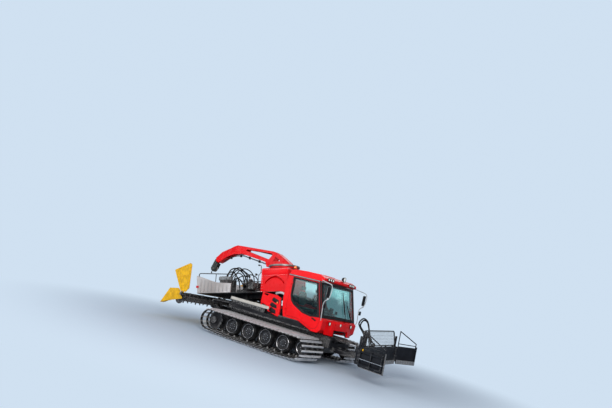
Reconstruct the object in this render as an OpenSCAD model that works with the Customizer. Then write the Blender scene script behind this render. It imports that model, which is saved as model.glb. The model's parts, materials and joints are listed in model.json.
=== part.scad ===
// Winch snow groomer on two wide tracks: front blade, cab, tilting bed with winch and boom, rear tiller.
// Millimetres. +X points forward, +Y to the left, +Z up, and the ground is at Z = 0.

/* [Tracks] */
// Width of one track
track_w = 1320; // [1000:1:1500]
// Distance from the centreline to the middle of a track
track_y = 1460; // [1400:1:1600]
// Thickness of the rubber belts
belt_t = 20; // [12:1:30]
// Width of one rubber belt
belt_w = 110; // [80:1:160]
// Number of belts side by side
belt_n = 5; // [4:1:6]
// Height of a cross bar above the belt
bar_h = 65; // [40:1:80]
// Thickness of a cross bar at its foot
bar_foot = 46; // [30:1:60]
// Thickness of a cross bar at its tip
bar_tip = 14; // [8:1:24]
// Cross bars on the round part of each end
bars_end = 7; // [6:1:9]
// Wanted distance between cross bars on the straight runs
bar_pitch = 158; // [140:1:220]

/* [Running gear] */
// Radius of a road wheel
wheel_r = 330; // [280:1:340]
// Width of a road wheel
wheel_w = 220; // [160:1:260]
// Radius of a wheel's rim
rim_r = 235; // [200:1:250]
// Place of the rearmost road wheel
wheel_x = -1440; // [-1500:1:-1380]
// Distance between road wheels
wheel_step = 763; // [700:1:790]
// Number of road wheels on each side
wheel_n = 4; // [3:1:4]
// Place of the drive sprocket
sprocket_x = -2150; // [-2250:1:-2140]
// Height of the drive sprocket
sprocket_z = 452; // [430:1:480]
// Radius of the belt's bend round the sprocket
sprocket_r = 315; // [290:1:330]
// Place of the front idler
idler_x = 1660; // [1600:1:1750]
// Height of the front idler
idler_z = 445; // [430:1:470]
// Radius of the front idler
idler_r = 312; // [290:1:320]
// Radius of a stub axle
axle_r = 48; // [35:1:60]

/* [Chassis] */
// Half width of the chassis tub
tub_y = 700; // [600:1:740]
// Underside of the chassis tub
tub_z0 = 350; // [300:1:400]
// Top of the chassis tub
tub_z1 = 950; // [900:1:960]
// Rear end of the chassis tub
tub_x0 = -2400; // [-2450:1:-2300]
// Front end of the chassis tub
tub_x1 = 2080; // [2000:1:2100]
// Half width of the platform
deck_y = 1240; // [1200:1:1300]
// Top of the platform
deck_z = 1370; // [1300:1:1400]
// Thickness of the platform
deck_t = 90; // [60:1:120]
// Rear end of the platform
deck_x0 = -2120; // [-2200:1:-2050]
// Front end of the platform
deck_x1 = -20; // [-100:1:40]
// Underside of the boxes beside the tub
box_z0 = 975; // [930:1:1000]

/* [Cab] */
// Half width over the doors
cab_y = 1165; // [1120:1:1200]
// Thickness of the cab walls and doors
cab_wall = 50; // [35:1:60]
// Rear face of the cab
cab_x0 = 150; // [120:1:200]
// Height of the cab floor's underside
cab_z0 = 1215; // [1190:1:1240]
// Height of the roof's lower edge
cab_z1 = 2690; // [2600:1:2760]
// Top of the roof
roof_z = 2900; // [2850:1:2950]
// Foot of the windscreen at the doors
screen_x0 = 1850; // [1800:1:1900]
// Top of the windscreen at the doors
screen_x1 = 1500; // [1450:1:1560]
// Height of the windscreen's foot
screen_z0 = 1500; // [1450:1:1560]
// Bulge of the windscreen
screen_bulge = 70; // [40:1:100]
// Gap round the doors
door_gap = 8; // [5:1:12]
// Thickness of the glass
glass_t = 8; // [5:1:12]

/* [Blade] */
// Half width of the blade's centre section
blade_y = 1350; // [1200:1:1500]
// Length of a wing
wing_len = 930; // [800:1:1000]
// Height of the blade's lower edge above the ground
blade_z0 = 500; // [300:1:550]
// Height of the mouldboard
blade_h = 560; // [500:1:700]
// Front face of the blade
blade_x = 3590; // [3500:1:3700]
// Thickness of the mouldboard
blade_t = 26; // [16:1:40]
// Radius of the mouldboard's curve
blade_r = 900; // [700:1:1200]
// Thickness of the cutting edge
edge_t = 22; // [16:1:30]
// Height of the guard above the mouldboard
guard_h = 500; // [400:1:600]
// Angle of the right wing ahead of the blade's line
wing_right_rest = 84; // [0:1:85]
// Angle of the left wing ahead of the blade's line
wing_left_rest = 25; // [0:1:85]
// Place of the lift frame's pivot
lift_x = 2160; // [2140:1:2200]
// Height of the lift frame's pivot
lift_z = 560; // [500:1:620]
// Half width over the lift frame's lugs
lift_half = 470; // [440:1:500]
// Roll of the blade, left end up
blade_roll = 3.5; // [-5:0.1:5]
// Place of the pin on which the blade turns
yaw_x = 3440; // [3420:1:3480]
// Height of the blade head
head_z = 720; // [700:1:740]

/* [Tiller] */
// Place of the tiller frame's pivot
hitch_x = -2470; // [-2500:1:-2440]
// Height of the tiller frame's pivot
hitch_z = 560; // [500:1:620]
// Half width over the tiller frame's lugs
hitch_half = 420; // [400:1:450]
// Length of one half of the tiller
tiller_len = 2040; // [1900:1:2060]
// Place of the rotor
rotor_x = -3850; // [-3900:1:-3800]
// Height of the rotor
rotor_z = 850; // [800:1:860]
// Radius over the rotor's teeth
rotor_r = 170; // [150:1:180]
// Radius of the rotor's shaft
shaft_r = 45; // [35:1:60]
// Inner radius of the hood
hood_r = 200; // [195:1:210]
// Thickness of the hood
hood_t = 14; // [8:1:20]
// Length of the comb from its hinge to its rear edge
comb_len = 805; // [700:1:850]
// Thickness of the comb
comb_t = 18; // [12:1:26]
// Number of panels in one comb
panel_n = 9; // [5:1:12]
// Angle below level of the panel at the middle of the machine
comb_in = 4; // [0:1:10]
// Angle below level of the outermost panel
comb_out = 29; // [15:1:35]
// Length of the comb's teeth
tooth_len = 70; // [40:1:90]
// Height of the side finishers' hinges
finisher_z = 1105; // [1090:1:1130]
// Distance from the centreline to the side finishers' hinges
finisher_y = 2125; // [2115:1:2150]
// Angle by which the left side finisher leans in
finisher_lean = 32; // [0:1:35]
// Half width over the hinges of the side finishers
finisher_reach = 2210; // [2208:1:2250]

/* [Bed] */
// Place of the bed's hinge
hinge_x = -2000; // [-2100:1:-1950]
// Height of the bed's hinge
hinge_z = 1300; // [1280:1:1320]
// Angle that the bed is raised
bed_tilt = 13; // [5:1:15]
// Half width of the bed
bed_y = 1090; // [1000:1:1150]
// Height of the bed's floor above the hinge
bed_w = 262; // [250:1:280]
// Rear end of the bed, measured from the hinge
bed_u0 = -1950; // [-2000:1:-1900]
// Height of the bed's side panel at the rear
side_h0 = 680; // [600:1:720]
// Height of the bed's side panel at the front
side_h1 = 330; // [250:1:400]

/* [Winch] */
// Rear face of the winch tower, measured from the hinge
tower_u0 = 775; // [750:1:800]
// Front face of the winch tower, measured from the hinge
tower_u1 = 1975; // [1950:1:2000]
// Half width of the winch tower
tower_y = 610; // [550:1:650]
// Top of the winch tower above the hinge
tower_w = 1200; // [1150:1:1250]
// Middle of the slewing ring, measured from the hinge
ring_u = 1370; // [1350:1:1390]
// Height of the slewing ring above the hinge
ring_w = 1330; // [1310:1:1350]
// Outer radius of the slewing ring
ring_r = 590; // [550:1:620]
// Half width of the boom
boom_y = 150; // [120:1:220]

/* [Hidden] */
$fn = 48;

red = [0.80, 0.06, 0.08];
black = [0.07, 0.07, 0.08];
dark = [0.18, 0.18, 0.19];
steel = [0.45, 0.45, 0.46];
alu = [0.66, 0.65, 0.62];
ochre = [0.78, 0.58, 0.08];
glass_c = [0.45, 0.70, 0.68];
lamp_c = [0.95, 0.93, 0.85];

// Gap between pieces that nearly touch
seat_gap = 0.3;
// Gap between pieces that move past each other
run_gap = 6;

// Distance of a wing's pin behind the blade's front face
wing_pin_back = 40;
// Hinge tube of the comb, which lies against the back of the hood
comb_tube = 16;
comb_d = hood_r + hood_t + comb_tube + seat_gap;
comb_x = rotor_x - comb_d * cos(18);
comb_z = rotor_z + comb_d * sin(18);
// Point of a wing at its hinge distance d, depth t ahead of the hinge and angle a
function wing_reach(d, t, a) = t * cos(a) + d * sin(a);
// The machine's two ends, measured from the point between the tracks, and the shift to its middle
wing_front = blade_x - wing_pin_back + wing_reach(wing_len, wing_pin_back + edge_t / 2, wing_right_rest);
comb_rear = comb_x - comb_len * cos(comb_in) - tooth_len * cos(comb_in);
frame_shift = -(wing_front + comb_rear) / 2;

// Whole machine in its own frame
module machine() {
    translate([frame_shift, 0, 0]) children();
}

// A piece and its mirror image on the other side
module both_sides() {
    children();
    mirror([0, 1, 0]) children();
}

// Side view outline in X and Z, extruded from y0 to y1
module side_prism(points, y0, y1) {
    translate([0, y1, 0]) rotate([90, 0, 0]) linear_extrude(y1 - y0) polygon(points);
}

// Round bar between two points
module rod(p, q, r) {
    v = q - p;
    len = norm(v);
    translate(p) rotate([0, acos(v[2] / len), atan2(v[1], v[0])]) cylinder(r = r, h = len);
}

// Bent tube through a list of points, of prisms that overlap at the bends
module tube_path(points, r) {
    for (i = [0 : len(points) - 2]) {
        d = (points[i + 1] - points[i]) / norm(points[i + 1] - points[i]);
        rod(points[i] - d * r * 0.35, points[i + 1] + d * r * 0.35, r, $fn = 10);
    }
}

// Box given by two corners
module block(a, b) {
    translate(a) cube(b - a);
}

// Points of an arc in a plane
function arc(c, r, a0, a1, n) = [for (i = [0 : n]) c + r * [cos(a0 + (a1 - a0) * i / n), sin(a0 + (a1 - a0) * i / n)]];

// Track loop. Each guide wheel is [x, z, radius], in the order in which the belt runs round them.
wheel_z = bar_h + belt_t + wheel_r;
guides = [
    [wheel_x, wheel_z, wheel_r],
    [wheel_x + (wheel_n - 1) * wheel_step, wheel_z, wheel_r],
    [idler_x, idler_z, idler_r],
    [sprocket_x, sprocket_z, sprocket_r]
];
function guide(i) = guides[(i + len(guides)) % len(guides)];
// Direction of the belt's outer normal on the straight run after guide i
function run_normal(i) =
    let (a = guide(i), b = guide(i + 1), d = [b[0] - a[0], b[1] - a[1]])
    atan2(d[1], d[0]) - acos((a[2] - b[2]) / norm(d));
function turn_start(i) = run_normal(i - 1);
function turn(i) = let (t = run_normal(i) - run_normal(i - 1)) t < 0 ? t + 360 : t;
function turn_steps(i) = max(1, round(turn(i) * bars_end / 180));
// A bend is a row of flats, one under each cross bar, whose middles touch the guide's radius
function bend(i, off) =
    let (g = guide(i), n = turn_steps(i), s = turn(i) / n, r = (g[2] + off) / cos(s / 2))
    [for (k = [0 : n - 1]) [g[0], g[1]] + r * [cos(turn_start(i) + s * (k + 0.5)), sin(turn_start(i) + s * (k + 0.5))]];
function loop_points(off) = [for (i = [0 : len(guides) - 1]) each bend(i, off)];

module belt_loop(y) {
    translate([0, y + belt_w / 2, 0]) rotate([90, 0, 0]) linear_extrude(belt_w) difference() {
        polygon(loop_points(belt_t));
        polygon(loop_points(0));
    }
}

// Cross bars stand on the middle of each flat, and evenly along the long flats
module track_bars() {
    outer = loop_points(belt_t + seat_gap);
    for (k = [0 : len(outer) - 1]) {
        p = outer[k];
        q = outer[(k + 1) % len(outer)];
        d = q - p;
        count = max(1, round(norm(d) / bar_pitch));
        for (j = [0 : count - 1])
            let (m = p + d * (j + 0.5) / count, a = atan2(d[1], d[0]) - 90)
            translate([m[0], track_w / 2 - 5, m[1]]) rotate([90, 0, 0]) rotate([0, 0, a])
            linear_extrude(track_w - 10)
            polygon([[0, -bar_foot / 2], [bar_h - seat_gap, -bar_tip / 2], [bar_h - seat_gap, bar_tip / 2], [0, bar_foot / 2]]);
    }
}

module track() {
    belt_step = (track_w - belt_w) / (belt_n - 1);
    color(black) {
        for (b = [0 : belt_n - 1]) belt_loop(-(track_w - belt_w) / 2 + b * belt_step);
        track_bars();
    }
}

module track_right() machine() translate([0, -track_y, 0]) track();
module track_left() machine() translate([0, track_y, 0]) track();

// Road wheel turned about Y: tyre, dished rim and hub
module wheel(r, w, rim) {
    rotate([90, 0, 0]) rotate_extrude() polygon([
        [axle_r, -w * 0.30], [rim * 0.45, -w * 0.30], [rim * 0.62, -w * 0.12], [rim * 0.92, -w * 0.12],
        [rim, -w * 0.42], [rim + 8, -w / 2], [r - 26, -w / 2], [r, -w / 2 + 30],
        [r, w / 2 - 30], [r - 26, w / 2], [rim + 8, w / 2], [rim, w * 0.42],
        [rim * 0.92, w * 0.12], [rim * 0.62, w * 0.12], [rim * 0.45, w * 0.30], [axle_r, w * 0.30]
    ]);
}

module wheel_row() {
    color(dark) {
        for (i = [0 : wheel_n - 1])
            translate([wheel_x + i * wheel_step, 0, wheel_z]) wheel(wheel_r - seat_gap, wheel_w, rim_r);
        translate([idler_x, 0, idler_z]) wheel(idler_r - seat_gap, wheel_w, rim_r - 10);
    }
}

module road_wheels() machine() both_sides() translate([0, -track_y, 0]) wheel_row();

// Drive sprocket: drum with two toothed discs
sprocket_teeth = 13;
module sprocket() {
    color(dark) {
        rotate([90, 0, 0]) translate([0, 0, -330]) cylinder(r = 120, h = 660);
        for (s = [-1, 1]) translate([0, s * 205, 0]) rotate([90, 0, 0]) translate([0, 0, -12]) linear_extrude(24) difference() {
            circle(r = sprocket_r - 6);
            for (k = [0 : sprocket_teeth - 1]) rotate(k * 360 / sprocket_teeth) translate([sprocket_r - 4, 0]) circle(r = 26);
        }
    }
}
module sprockets() machine() both_sides() translate([sprocket_x, -track_y, sprocket_z]) sprocket();

// Chassis tub with its nose and tail plates, stub axles and swing arms
module chassis_frame() machine() color(black) {
    difference() {
        side_prism([
            [tub_x0 + 120, tub_z0 + 60], [tub_x0 + 260, tub_z0], [tub_x1 - 420, tub_z0], [tub_x1, tub_z0 + 260],
            [tub_x1, tub_z1 - 80], [tub_x1 - 120, tub_z1], [tub_x0, tub_z1], [tub_x0, tub_z0 + 200]
        ], -tub_y, tub_y);
        // Hollow nose under the cab
        side_prism([[tub_x1 - 500, tub_z0 + 330], [tub_x1 + 10, tub_z0 + 430], [tub_x1 + 10, tub_z1 - 120], [tub_x1 - 500, tub_z1 - 120]],
            -tub_y + 140, tub_y - 140);
    }
    both_sides() {
        for (i = [0 : wheel_n - 1]) translate([wheel_x + i * wheel_step, 0, wheel_z]) stub_axle(track_y + wheel_w * 0.30 + 20);
        translate([idler_x, 0, idler_z]) stub_axle(track_y + wheel_w * 0.30 + 20);
        // Final drive housing
        translate([sprocket_x, -tub_y, sprocket_z]) rotate([90, 0, 0]) cylinder(r = 150, h = track_y - 330 - tub_y);
        // Swing arms along the tub
        for (i = [0 : wheel_n - 1]) side_prism([
            [wheel_x + i * wheel_step - 60, wheel_z - 60], [wheel_x + i * wheel_step + 60, wheel_z - 60],
            [wheel_x + i * wheel_step + 300, wheel_z + 150], [wheel_x + i * wheel_step + 300, wheel_z + 230],
            [wheel_x + i * wheel_step + 200, wheel_z + 230], [wheel_x + i * wheel_step - 60, wheel_z + 60]
        ], -tub_y - 70, -tub_y + 5);
        // Rear hitch lugs
        hitch_lug(-hitch_half);
        // Front lugs of the blade's lift frame
        lift_lug(-lift_half);
    }
    // Ears of the lift cylinders and of the tiller cylinders
    both_sides() {
        ear(lift_cyl_a, -lift_cyl_y, 46, 1, [tub_x1 - 90, tub_z1 - 60], [tub_x1 - 10, tub_z1 - 200]);
        ear(tiller_cyl_a, -tiller_cyl_y, 46, -1, [tub_x0 + 15, tub_z1 - 5], [tub_x0 + 15, tub_z1 - 180]);
    }
    // Stands of the bed's hinge
    both_sides() difference() {
        side_prism([
            [hinge_x - 110, tub_z1 - 5], [hinge_x + 160, tub_z1 - 5], [hinge_x + 60, hinge_z + 30],
            [hinge_x + 25, hinge_z + 60], [hinge_x - 25, hinge_z + 60], [hinge_x - 60, hinge_z + 30]
        ], -hinge_half - 25, -hinge_half + 25);
        translate([hinge_x, -hinge_half - 40, hinge_z]) rotate([-90, 0, 0]) cylinder(r = pin_r + 0.05, h = 80);
    }
    // Foot of the bed's cylinder
    ear(bed_cyl_a, 0, 40, 0, [bed_cyl_a[0] - 70, tub_z1 - 5], [bed_cyl_a[0] + 70, tub_z1 - 5]);
    // Towing eyes at the front and at the rear
    for (s = [[tub_x1 - 20, 130, tow_x1], [tub_x0 + 30 - 150, 150, tow_x0]]) difference() {
        block([s[0], -tow_half, tow_z - tow_t / 2], [s[0] + s[1], tow_half, tow_z + tow_t / 2]);
        translate([s[2], 0, tow_z - tow_t]) cylinder(r = tow_r, h = 2 * tow_t);
    }
}
tow_r = 22.5;
tow_t = 40;
tow_half = 60;
tow_z = tub_z0 + 290;
tow_x1 = tub_x1 + 55;
tow_x0 = tub_x0 - 65;

module stub_axle(reach) {
    translate([0, -tub_y + 5, 0]) rotate([90, 0, 0]) cylinder(r = axle_r - 0.3, h = reach - tub_y + 5);
}

// Pair of lugs beside a cylinder's trunnion at pin, from the frame's points p and q.
// They stand on its top where side is 0, at its front where side is 1 and at its rear where side is -1.
module ear(pin, y, half, side, p, q) {
    head = side == 0 ? [[-half, half], [half, half]] : [[-side * half, half], [side * half, half], [side * half, -half]];
    for (s = [-1, 1]) difference() {
        side_prism(concat([p], [for (h = head) pin + h], [q]), y + s * lug_y - lug_t / 2, y + s * lug_y + lug_t / 2);
        translate([pin[0], y + s * lug_y - 20, pin[1]]) rotate([-90, 0, 0]) cylinder(r = cyl_pin_r + 0.05, h = 40);
    }
}

pin_r = 32;
cyl_pin_r = 20;
hinge_half = 560;
lug_y = 42;
lug_t = 18;

module hitch_lug(y) difference() {
    side_prism([[tub_x0 + 5, hitch_z - 90], [hitch_x, hitch_z - 70], [hitch_x - 60, hitch_z], [hitch_x, hitch_z + 70], [tub_x0 + 5, hitch_z + 110]],
        y - 30, y + 30);
    translate([hitch_x, y - 40, hitch_z]) rotate([-90, 0, 0]) cylinder(r = pin_r + 0.05, h = 80);
}

module lift_lug(y) difference() {
    side_prism([[tub_x1 - 20, lift_z - 40], [lift_x, lift_z - 70], [lift_x + 60, lift_z], [lift_x, lift_z + 70], [tub_x1 - 20, lift_z + 110]],
        y - 30, y + 30);
    translate([lift_x, y - 40, lift_z]) rotate([-90, 0, 0]) cylinder(r = pin_r + 0.05, h = 80);
}

// Boxes beside the tub, over the tracks. The cab rests on their front ends.
module side_boxes() machine() color(black) both_sides() {
    difference() {
        side_prism([
            [deck_x0 + 60, deck_z - deck_t - 40], [deck_x0 + 260, box_z0 + 20], [deck_x0 + 320, box_z0], [1500, box_z0],
            [1500, 1018], [sill_x, cab_z0 - 14], [sill_x - 20, cab_z0 - seat_gap], [deck_x1 + 40, cab_z0 - seat_gap],
            [deck_x1, deck_z - deck_t - seat_gap], [deck_x0 + 60, deck_z - deck_t - seat_gap]
        ], -deck_y + 15, -tub_y - 90);
        side_notch();
    }
    fender();
    // Step rail under the door
    rod([380, -deck_y - 60, box_z0 + 30], [1380, -deck_y - 60, box_z0 + 30], 16, $fn = 10);
    for (x = [420, 1340]) rod([x, -deck_y + 20, box_z0 + 90], [x, -deck_y - 60, box_z0 + 30], 14, $fn = 10);
}

// Flat platform behind the cab, open over the engine
module deck() machine() color(black) {
    difference() {
        block([deck_x0, -deck_y + 12, deck_z - deck_t], [deck_x1, deck_y - 12, deck_z]);
        block([engine_x0 - 60, -620, deck_z - deck_t - 1], [deck_x1 + 1, 620, deck_z + 1]);
        both_sides() block([hinge_x - 130, -hinge_half - 60, deck_z - deck_t - 1], [hinge_x + 190, -hinge_half + 95, deck_z + 1]);
        both_sides() side_notch();
        block([bed_cyl_a[0] - 200, -150, deck_z - deck_t - 1], [engine_x0, 150, deck_z + 1]);
    }
    // Cross bearers between the platform and the tub
    for (x = [deck_x0 + 330, -1180, -420])
        both_sides() block([x - 40, -tub_y + 2, tub_z1 + seat_gap], [x + 40, -630, deck_z - deck_t]);
}

// Room in the platform and in the boxes for the frames behind the cab
module side_notch() block([-455, -deck_y - 5, 1135], [170, -cab_y + 56, deck_z + 5]);

// Bright edge strips on the platform
module deck_edges() machine() color(alu) both_sides()
    block([deck_x0 + 40, -deck_y, deck_z - 70], [deck_x1 - 270, -deck_y + 12 - seat_gap, deck_z + 28]);

// Plates over the rear of the tracks
fender_x0 = -3000;
module fender() {
    side_prism([
        [deck_x0 + 220, 1000], [deck_x0 + 220, 1190], [deck_x0 + 60 - seat_gap, 1190], [fender_x0 + 60, 1110], [fender_x0, 1000],
        [fender_x0 + 30, 985], [fender_x0 + 110, 1075], [deck_x0, 1130], [deck_x0 + 40, 1000]
    ], -deck_y + 15, -tub_y - 120);
}

// Engine, one plain block
engine_x0 = -690;
module engine_block() machine() color(dark)
    block([engine_x0, -360, tub_z1 + seat_gap], [-40, 360, 1490]);

// Red frames with slanted windows on both sides behind the cab
module side_grilles() machine() color(red) both_sides() {
    difference() {
        side_prism([
            [-760, 1480], [-760, 1840], [-120, 1850], [60, 1790], [120, 1560], [150, 1160], [60, 1150],
            [-120, 1190], [-380, 1240], [-420, 1400]
        ], -cab_y - 5, -cab_y + 45);
        for (w = [[-300, 1640, 120], [-340, 1460, 120], [-330, 1270, 140]])
            side_prism([
                [w[0], w[1]], [w[0] + 60, w[1] + w[2]], [w[0] + 300, w[1] + w[2] - 70], [w[0] + 330, w[1] - 60], [w[0] + 120, w[1] - 60]
            ], -cab_y - 20, -cab_y + 60);
        side_prism([[-700, 1780], [-690, 1815], [-480, 1810], [-520, 1745]], -cab_y - 20, -cab_y + 60);
    }
    // Shelf on the platform that carries the frame
    block([-760, -cab_y + 20, deck_z + seat_gap], [-700, -cab_y + 42, 1500]);
    block([-760, -cab_y + 42, 1440], [100, -900, 1470]);
    block([-700, -920, deck_z + seat_gap], [-100, -900, 1440]);
}

// Cab. The side outline is drawn once and its walls, doors and openings follow from it.
screen_z1 = cab_z1;
sill_x = 970;
door_x0 = cab_x0 + 200;
function screen_x(z) = screen_x0 + (screen_x1 - screen_x0) * (z - screen_z0) / (screen_z1 - screen_z0);
cab_outline = [
    [cab_x0, 1860], [cab_x0 + 30, 1640], [cab_x0 + 170, cab_z0], [sill_x, cab_z0], [1560, 1010], [1780, 1010],
    [1900, 1120], [1930, 1430], [screen_x0, screen_z0], [screen_x1, screen_z1], [cab_x0 + 10, screen_z1]
];
cab_inside = [
    [cab_x0 + cab_wall, 1870], [cab_x0 + cab_wall + 30, 1650], [cab_x0 + 170 + cab_wall, cab_z0 + cab_wall], [sill_x + 15, cab_z0 + cab_wall],
    [1580, 1070], [1750, 1070], [1850, 1140], [1876, 1430], [screen_x0 - 60, screen_z0], [screen_x1 - 60, screen_z1 + 1],
    [cab_x0 + cab_wall + 10, screen_z1 + 1]
];
// The door's outline, from its rear foot round the front to its rear top
door_outline = [
    [door_x0 + 60, cab_z0 + 62], [sill_x, cab_z0 + 62], [1540, 1075], [1700, 1120], [1775, 1240],
    [screen_x(screen_z0) - 75, screen_z0], [screen_x(2620) - 75, 2620], [door_x0, 2620], [door_x0, 1700]
];
window_outline = [
    [door_x0 + 90, 2580], [door_x0 + 130, 1990], [door_x0 + 200, 1840], [door_x0 + 330, 1720], [door_x0 + 720, 1545], [door_x0 + 1040, 1500],
    [screen_x(1560) - 170, 1560], [screen_x(2580) - 150, 2580]
];

module cab_shell() machine() color(red) {
    difference() {
        side_prism(cab_outline, -cab_y, cab_y);
        side_prism(cab_inside, -cab_y + cab_wall, cab_y - cab_wall);
        both_sides() side_prism(door_outline, -cab_y - 10, -cab_y + cab_wall + 10);
        // Windscreen opening
        side_prism([[screen_x(1540) + 200, 1540], [screen_x(1540) - 120, 1540], [screen_x(2640) - 120, 2640], [screen_x(2640) + 200, 2640]],
            -cab_y + cab_wall + 25, cab_y - cab_wall - 25);
        // Rear window
        block([cab_x0 - 20, -cab_y + 180, 1900], [cab_x0 + cab_wall + 60, cab_y - 180, 2560]);
        // Arch in the front of the foot
        block([1700, -430, 1000], [2000, 430, 1200]);
    }
    // Hinge knuckles of the doors
    both_sides() for (z = door_knuckles) {
        translate([door_pin_x, -door_pin_y, z - knuckle_h - seat_gap]) cylinder(r = knuckle_r, h = knuckle_h);
        block([door_pin_x - 45, -door_pin_y, z - knuckle_h - seat_gap], [door_pin_x, -cab_y + 5, z - seat_gap]);
    }
}
// The doors turn on upright pins just outside their rear edges
knuckle_r = 14;
knuckle_h = 50;
door_knuckles = [1500, 2380];
door_pin_x = door_x0 - 10;
door_pin_y = cab_y + knuckle_r + 1;

module cab_roof() machine() color(red) {
    roof_y = cab_y - 35;
    difference() {
        side_prism([
            [cab_x0 + 40, cab_z1 + seat_gap], [screen_x1 + 60, cab_z1 + seat_gap], [screen_x1 + 130, cab_z1 + 50], [screen_x1 + 110, cab_z1 + 120],
            [screen_x1 - 80, roof_z - 10], [900, roof_z], [cab_x0 + 180, roof_z - 25], [cab_x0 + 40, roof_z - 90]
        ], -roof_y, roof_y);
        // Pockets of the lamps, the search light's foot and the beacon
        both_sides() for (y = roof_lamps)
            roof_lamp(y) rotate([0, 90, 0]) translate([0, 0, -seat_gap]) cylinder(r = roof_lamp_r + 4, h = 160);
        translate([screen_x1 + 60, search_y, search_z - seat_gap]) cylinder(r = search_foot_r + 1, h = 100);
        translate([cab_x0 + 110, beacon_y, beacon_z - seat_gap]) cylinder(r = beacon_r + 2, h = 100);
    }
}
roof_lamps = [-890, -750, -610];
roof_lamp_r = 46;
search_y = 260;
search_z = roof_z - 90;
search_foot_r = 26;
beacon_y = -cab_y + 130;
beacon_z = roof_z - 56;
beacon_r = 62;
module roof_lamp(y) translate([screen_x1 + 88, y, cab_z1 + 86]) rotate([0, -8, 0]) children();

// Curved pane in the plane of the windscreen
rake = atan2(screen_x0 - screen_x1, screen_z1 - screen_z0);
screen_half = cab_y - cab_wall - 25 - seat_gap;
bulge_r = (pow(screen_half, 2) + pow(screen_bulge, 2)) / (2 * screen_bulge);
module windscreen() machine() color(glass_c)
    translate([screen_x(1545), 0, 1545]) rotate([0, -rake, 0])
    intersection() {
        translate([screen_bulge - bulge_r, 0, 0]) difference() {
            cylinder(r = bulge_r, h = 1140, $fn = 256);
            translate([0, 0, -1]) cylinder(r = bulge_r - glass_t, h = 1142, $fn = 256);
        }
        block([-40, -screen_half, -5], [screen_bulge + 20, screen_half, 1150]);
    }

// Red front panel under the windscreen
nose_x = 2010;
head_lamps = [-760, -20, 740];
head_lamp_x = 1932;
module nose_panel() machine() color(red) {
    difference() {
        intersection() {
            side_prism([
                [1905, 1000], [nose_x - 20, 970], [nose_x, 1120], [nose_x - 20, 1400], [nose_x - 50, 1460], [screen_x0 + 40, 1495],
                [1930 + seat_gap, 1430], [1900 + seat_gap, 1120]
            ], -cab_y, cab_y);
            // The plan view is rounded
            translate([nose_x - 4000, 0, 900]) cylinder(r = 4000, h = 700, $fn = 256);
        }
        block([1800, -430, 960], [2100, 620, 1180]);
        for (y = head_lamps) translate([head_lamp_x - 2, y, 1370]) rotate([0, 90, 0]) cylinder(r = 62, h = 200);
    }
}

// Head lamps, roof lamps on their visor, search light and orange beacon
module round_lamp(r, d) {
    rotate([0, 90, 0]) rotate_extrude() polygon([[0, 0], [r * 0.6, 0], [r, d * 0.6], [r, d], [0, d + r * 0.1]]);
}
module lamps() machine() color(lamp_c) {
    for (y = head_lamps) translate([head_lamp_x, y, 1370]) round_lamp(58, 42);
    both_sides() for (y = roof_lamps) roof_lamp(y) round_lamp(roof_lamp_r, 60);
    // Search light on its foot
    translate([screen_x1 + 60, search_y, search_z]) cylinder(r = search_foot_r, h = 110);
    translate([screen_x1 + 10, search_y, roof_z + 38]) round_lamp(80, 110);
    // Beacon on its foot at the rear corner of the roof
    translate([cab_x0 + 110, beacon_y, beacon_z]) {
        cylinder(r = beacon_r, h = 60);
        translate([0, 0, 58]) cylinder(r = 50, h = 80);
        translate([0, 0, 138]) sphere(r = 50);
    }
}

// Mirror bows and mirrors at the front corners
module mirrors() machine() color(dark) both_sides() {
    my = -cab_y - 105;
    tube_path([
        [screen_x1 + 42, -cab_y + 19, cab_z1 + 36], [screen_x1 + 170, my, cab_z1 + 10], [2030, my, 2640], [2075, my, 2480], [2030, my, 2160],
        [1900, my, 2090], [1850, my, 1990], [1895, my, 1540], [1850, -cab_y - 17, 1430]
    ], 14);
    // Tall mirror in the bow and small mirror below it
    block([1945, my - 110, 2190], [1980, my + 90, 2560]);
    block([1905, my - 80, 1830], [1935, my + 60, 1980]);
    rod([1962, my, 2120], [1962, my, 2191], 10);
    rod([1868, my, 1905], [1906, my, 1905], 10);
}

// Seats with their pedestals, dash and arm rest
module cab_interior() machine() color(dark) {
    for (y = [-480, 480]) translate([520, y, 0]) {
        translate([220, 0, cab_z0 + cab_wall + seat_gap]) cylinder(r = 110, h = 300);
        block([0, -240, 1565], [480, 240, 1680]);
        side_prism([[-80, 1690], [40, 1690], [-30, 2200], [-110, 2200]], -230, 230);
        side_prism([[-112, 2230], [-40, 2230], [-60, 2380], [-120, 2380]], -130, 130);
    }
    // Dash, and the arm rest between the seats
    side_prism([[1500, 1110], [1740, 1110], [1790, 1380], [1700, 1500], [1560, 1480]], -700, 700);
    side_prism([[560, 1300], [1050, 1300], [1150, 1640], [1050, 1720], [620, 1640]], -130, 130);
}

// Doors, hinged at the rear edge, with the window cut out
module door() color(red) difference() {
    side_prism([for (p = door_outline) p], -cab_y, -cab_y + cab_wall);
    // Running gap round the edge
    difference() {
        side_prism(door_outline, -cab_y - 1, -cab_y + cab_wall + 1);
        side_prism(door_inner, -cab_y - 2, -cab_y + cab_wall + 2);
    }
    side_prism(window_outline, -cab_y - 5, -cab_y + cab_wall + 5);
}
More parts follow.
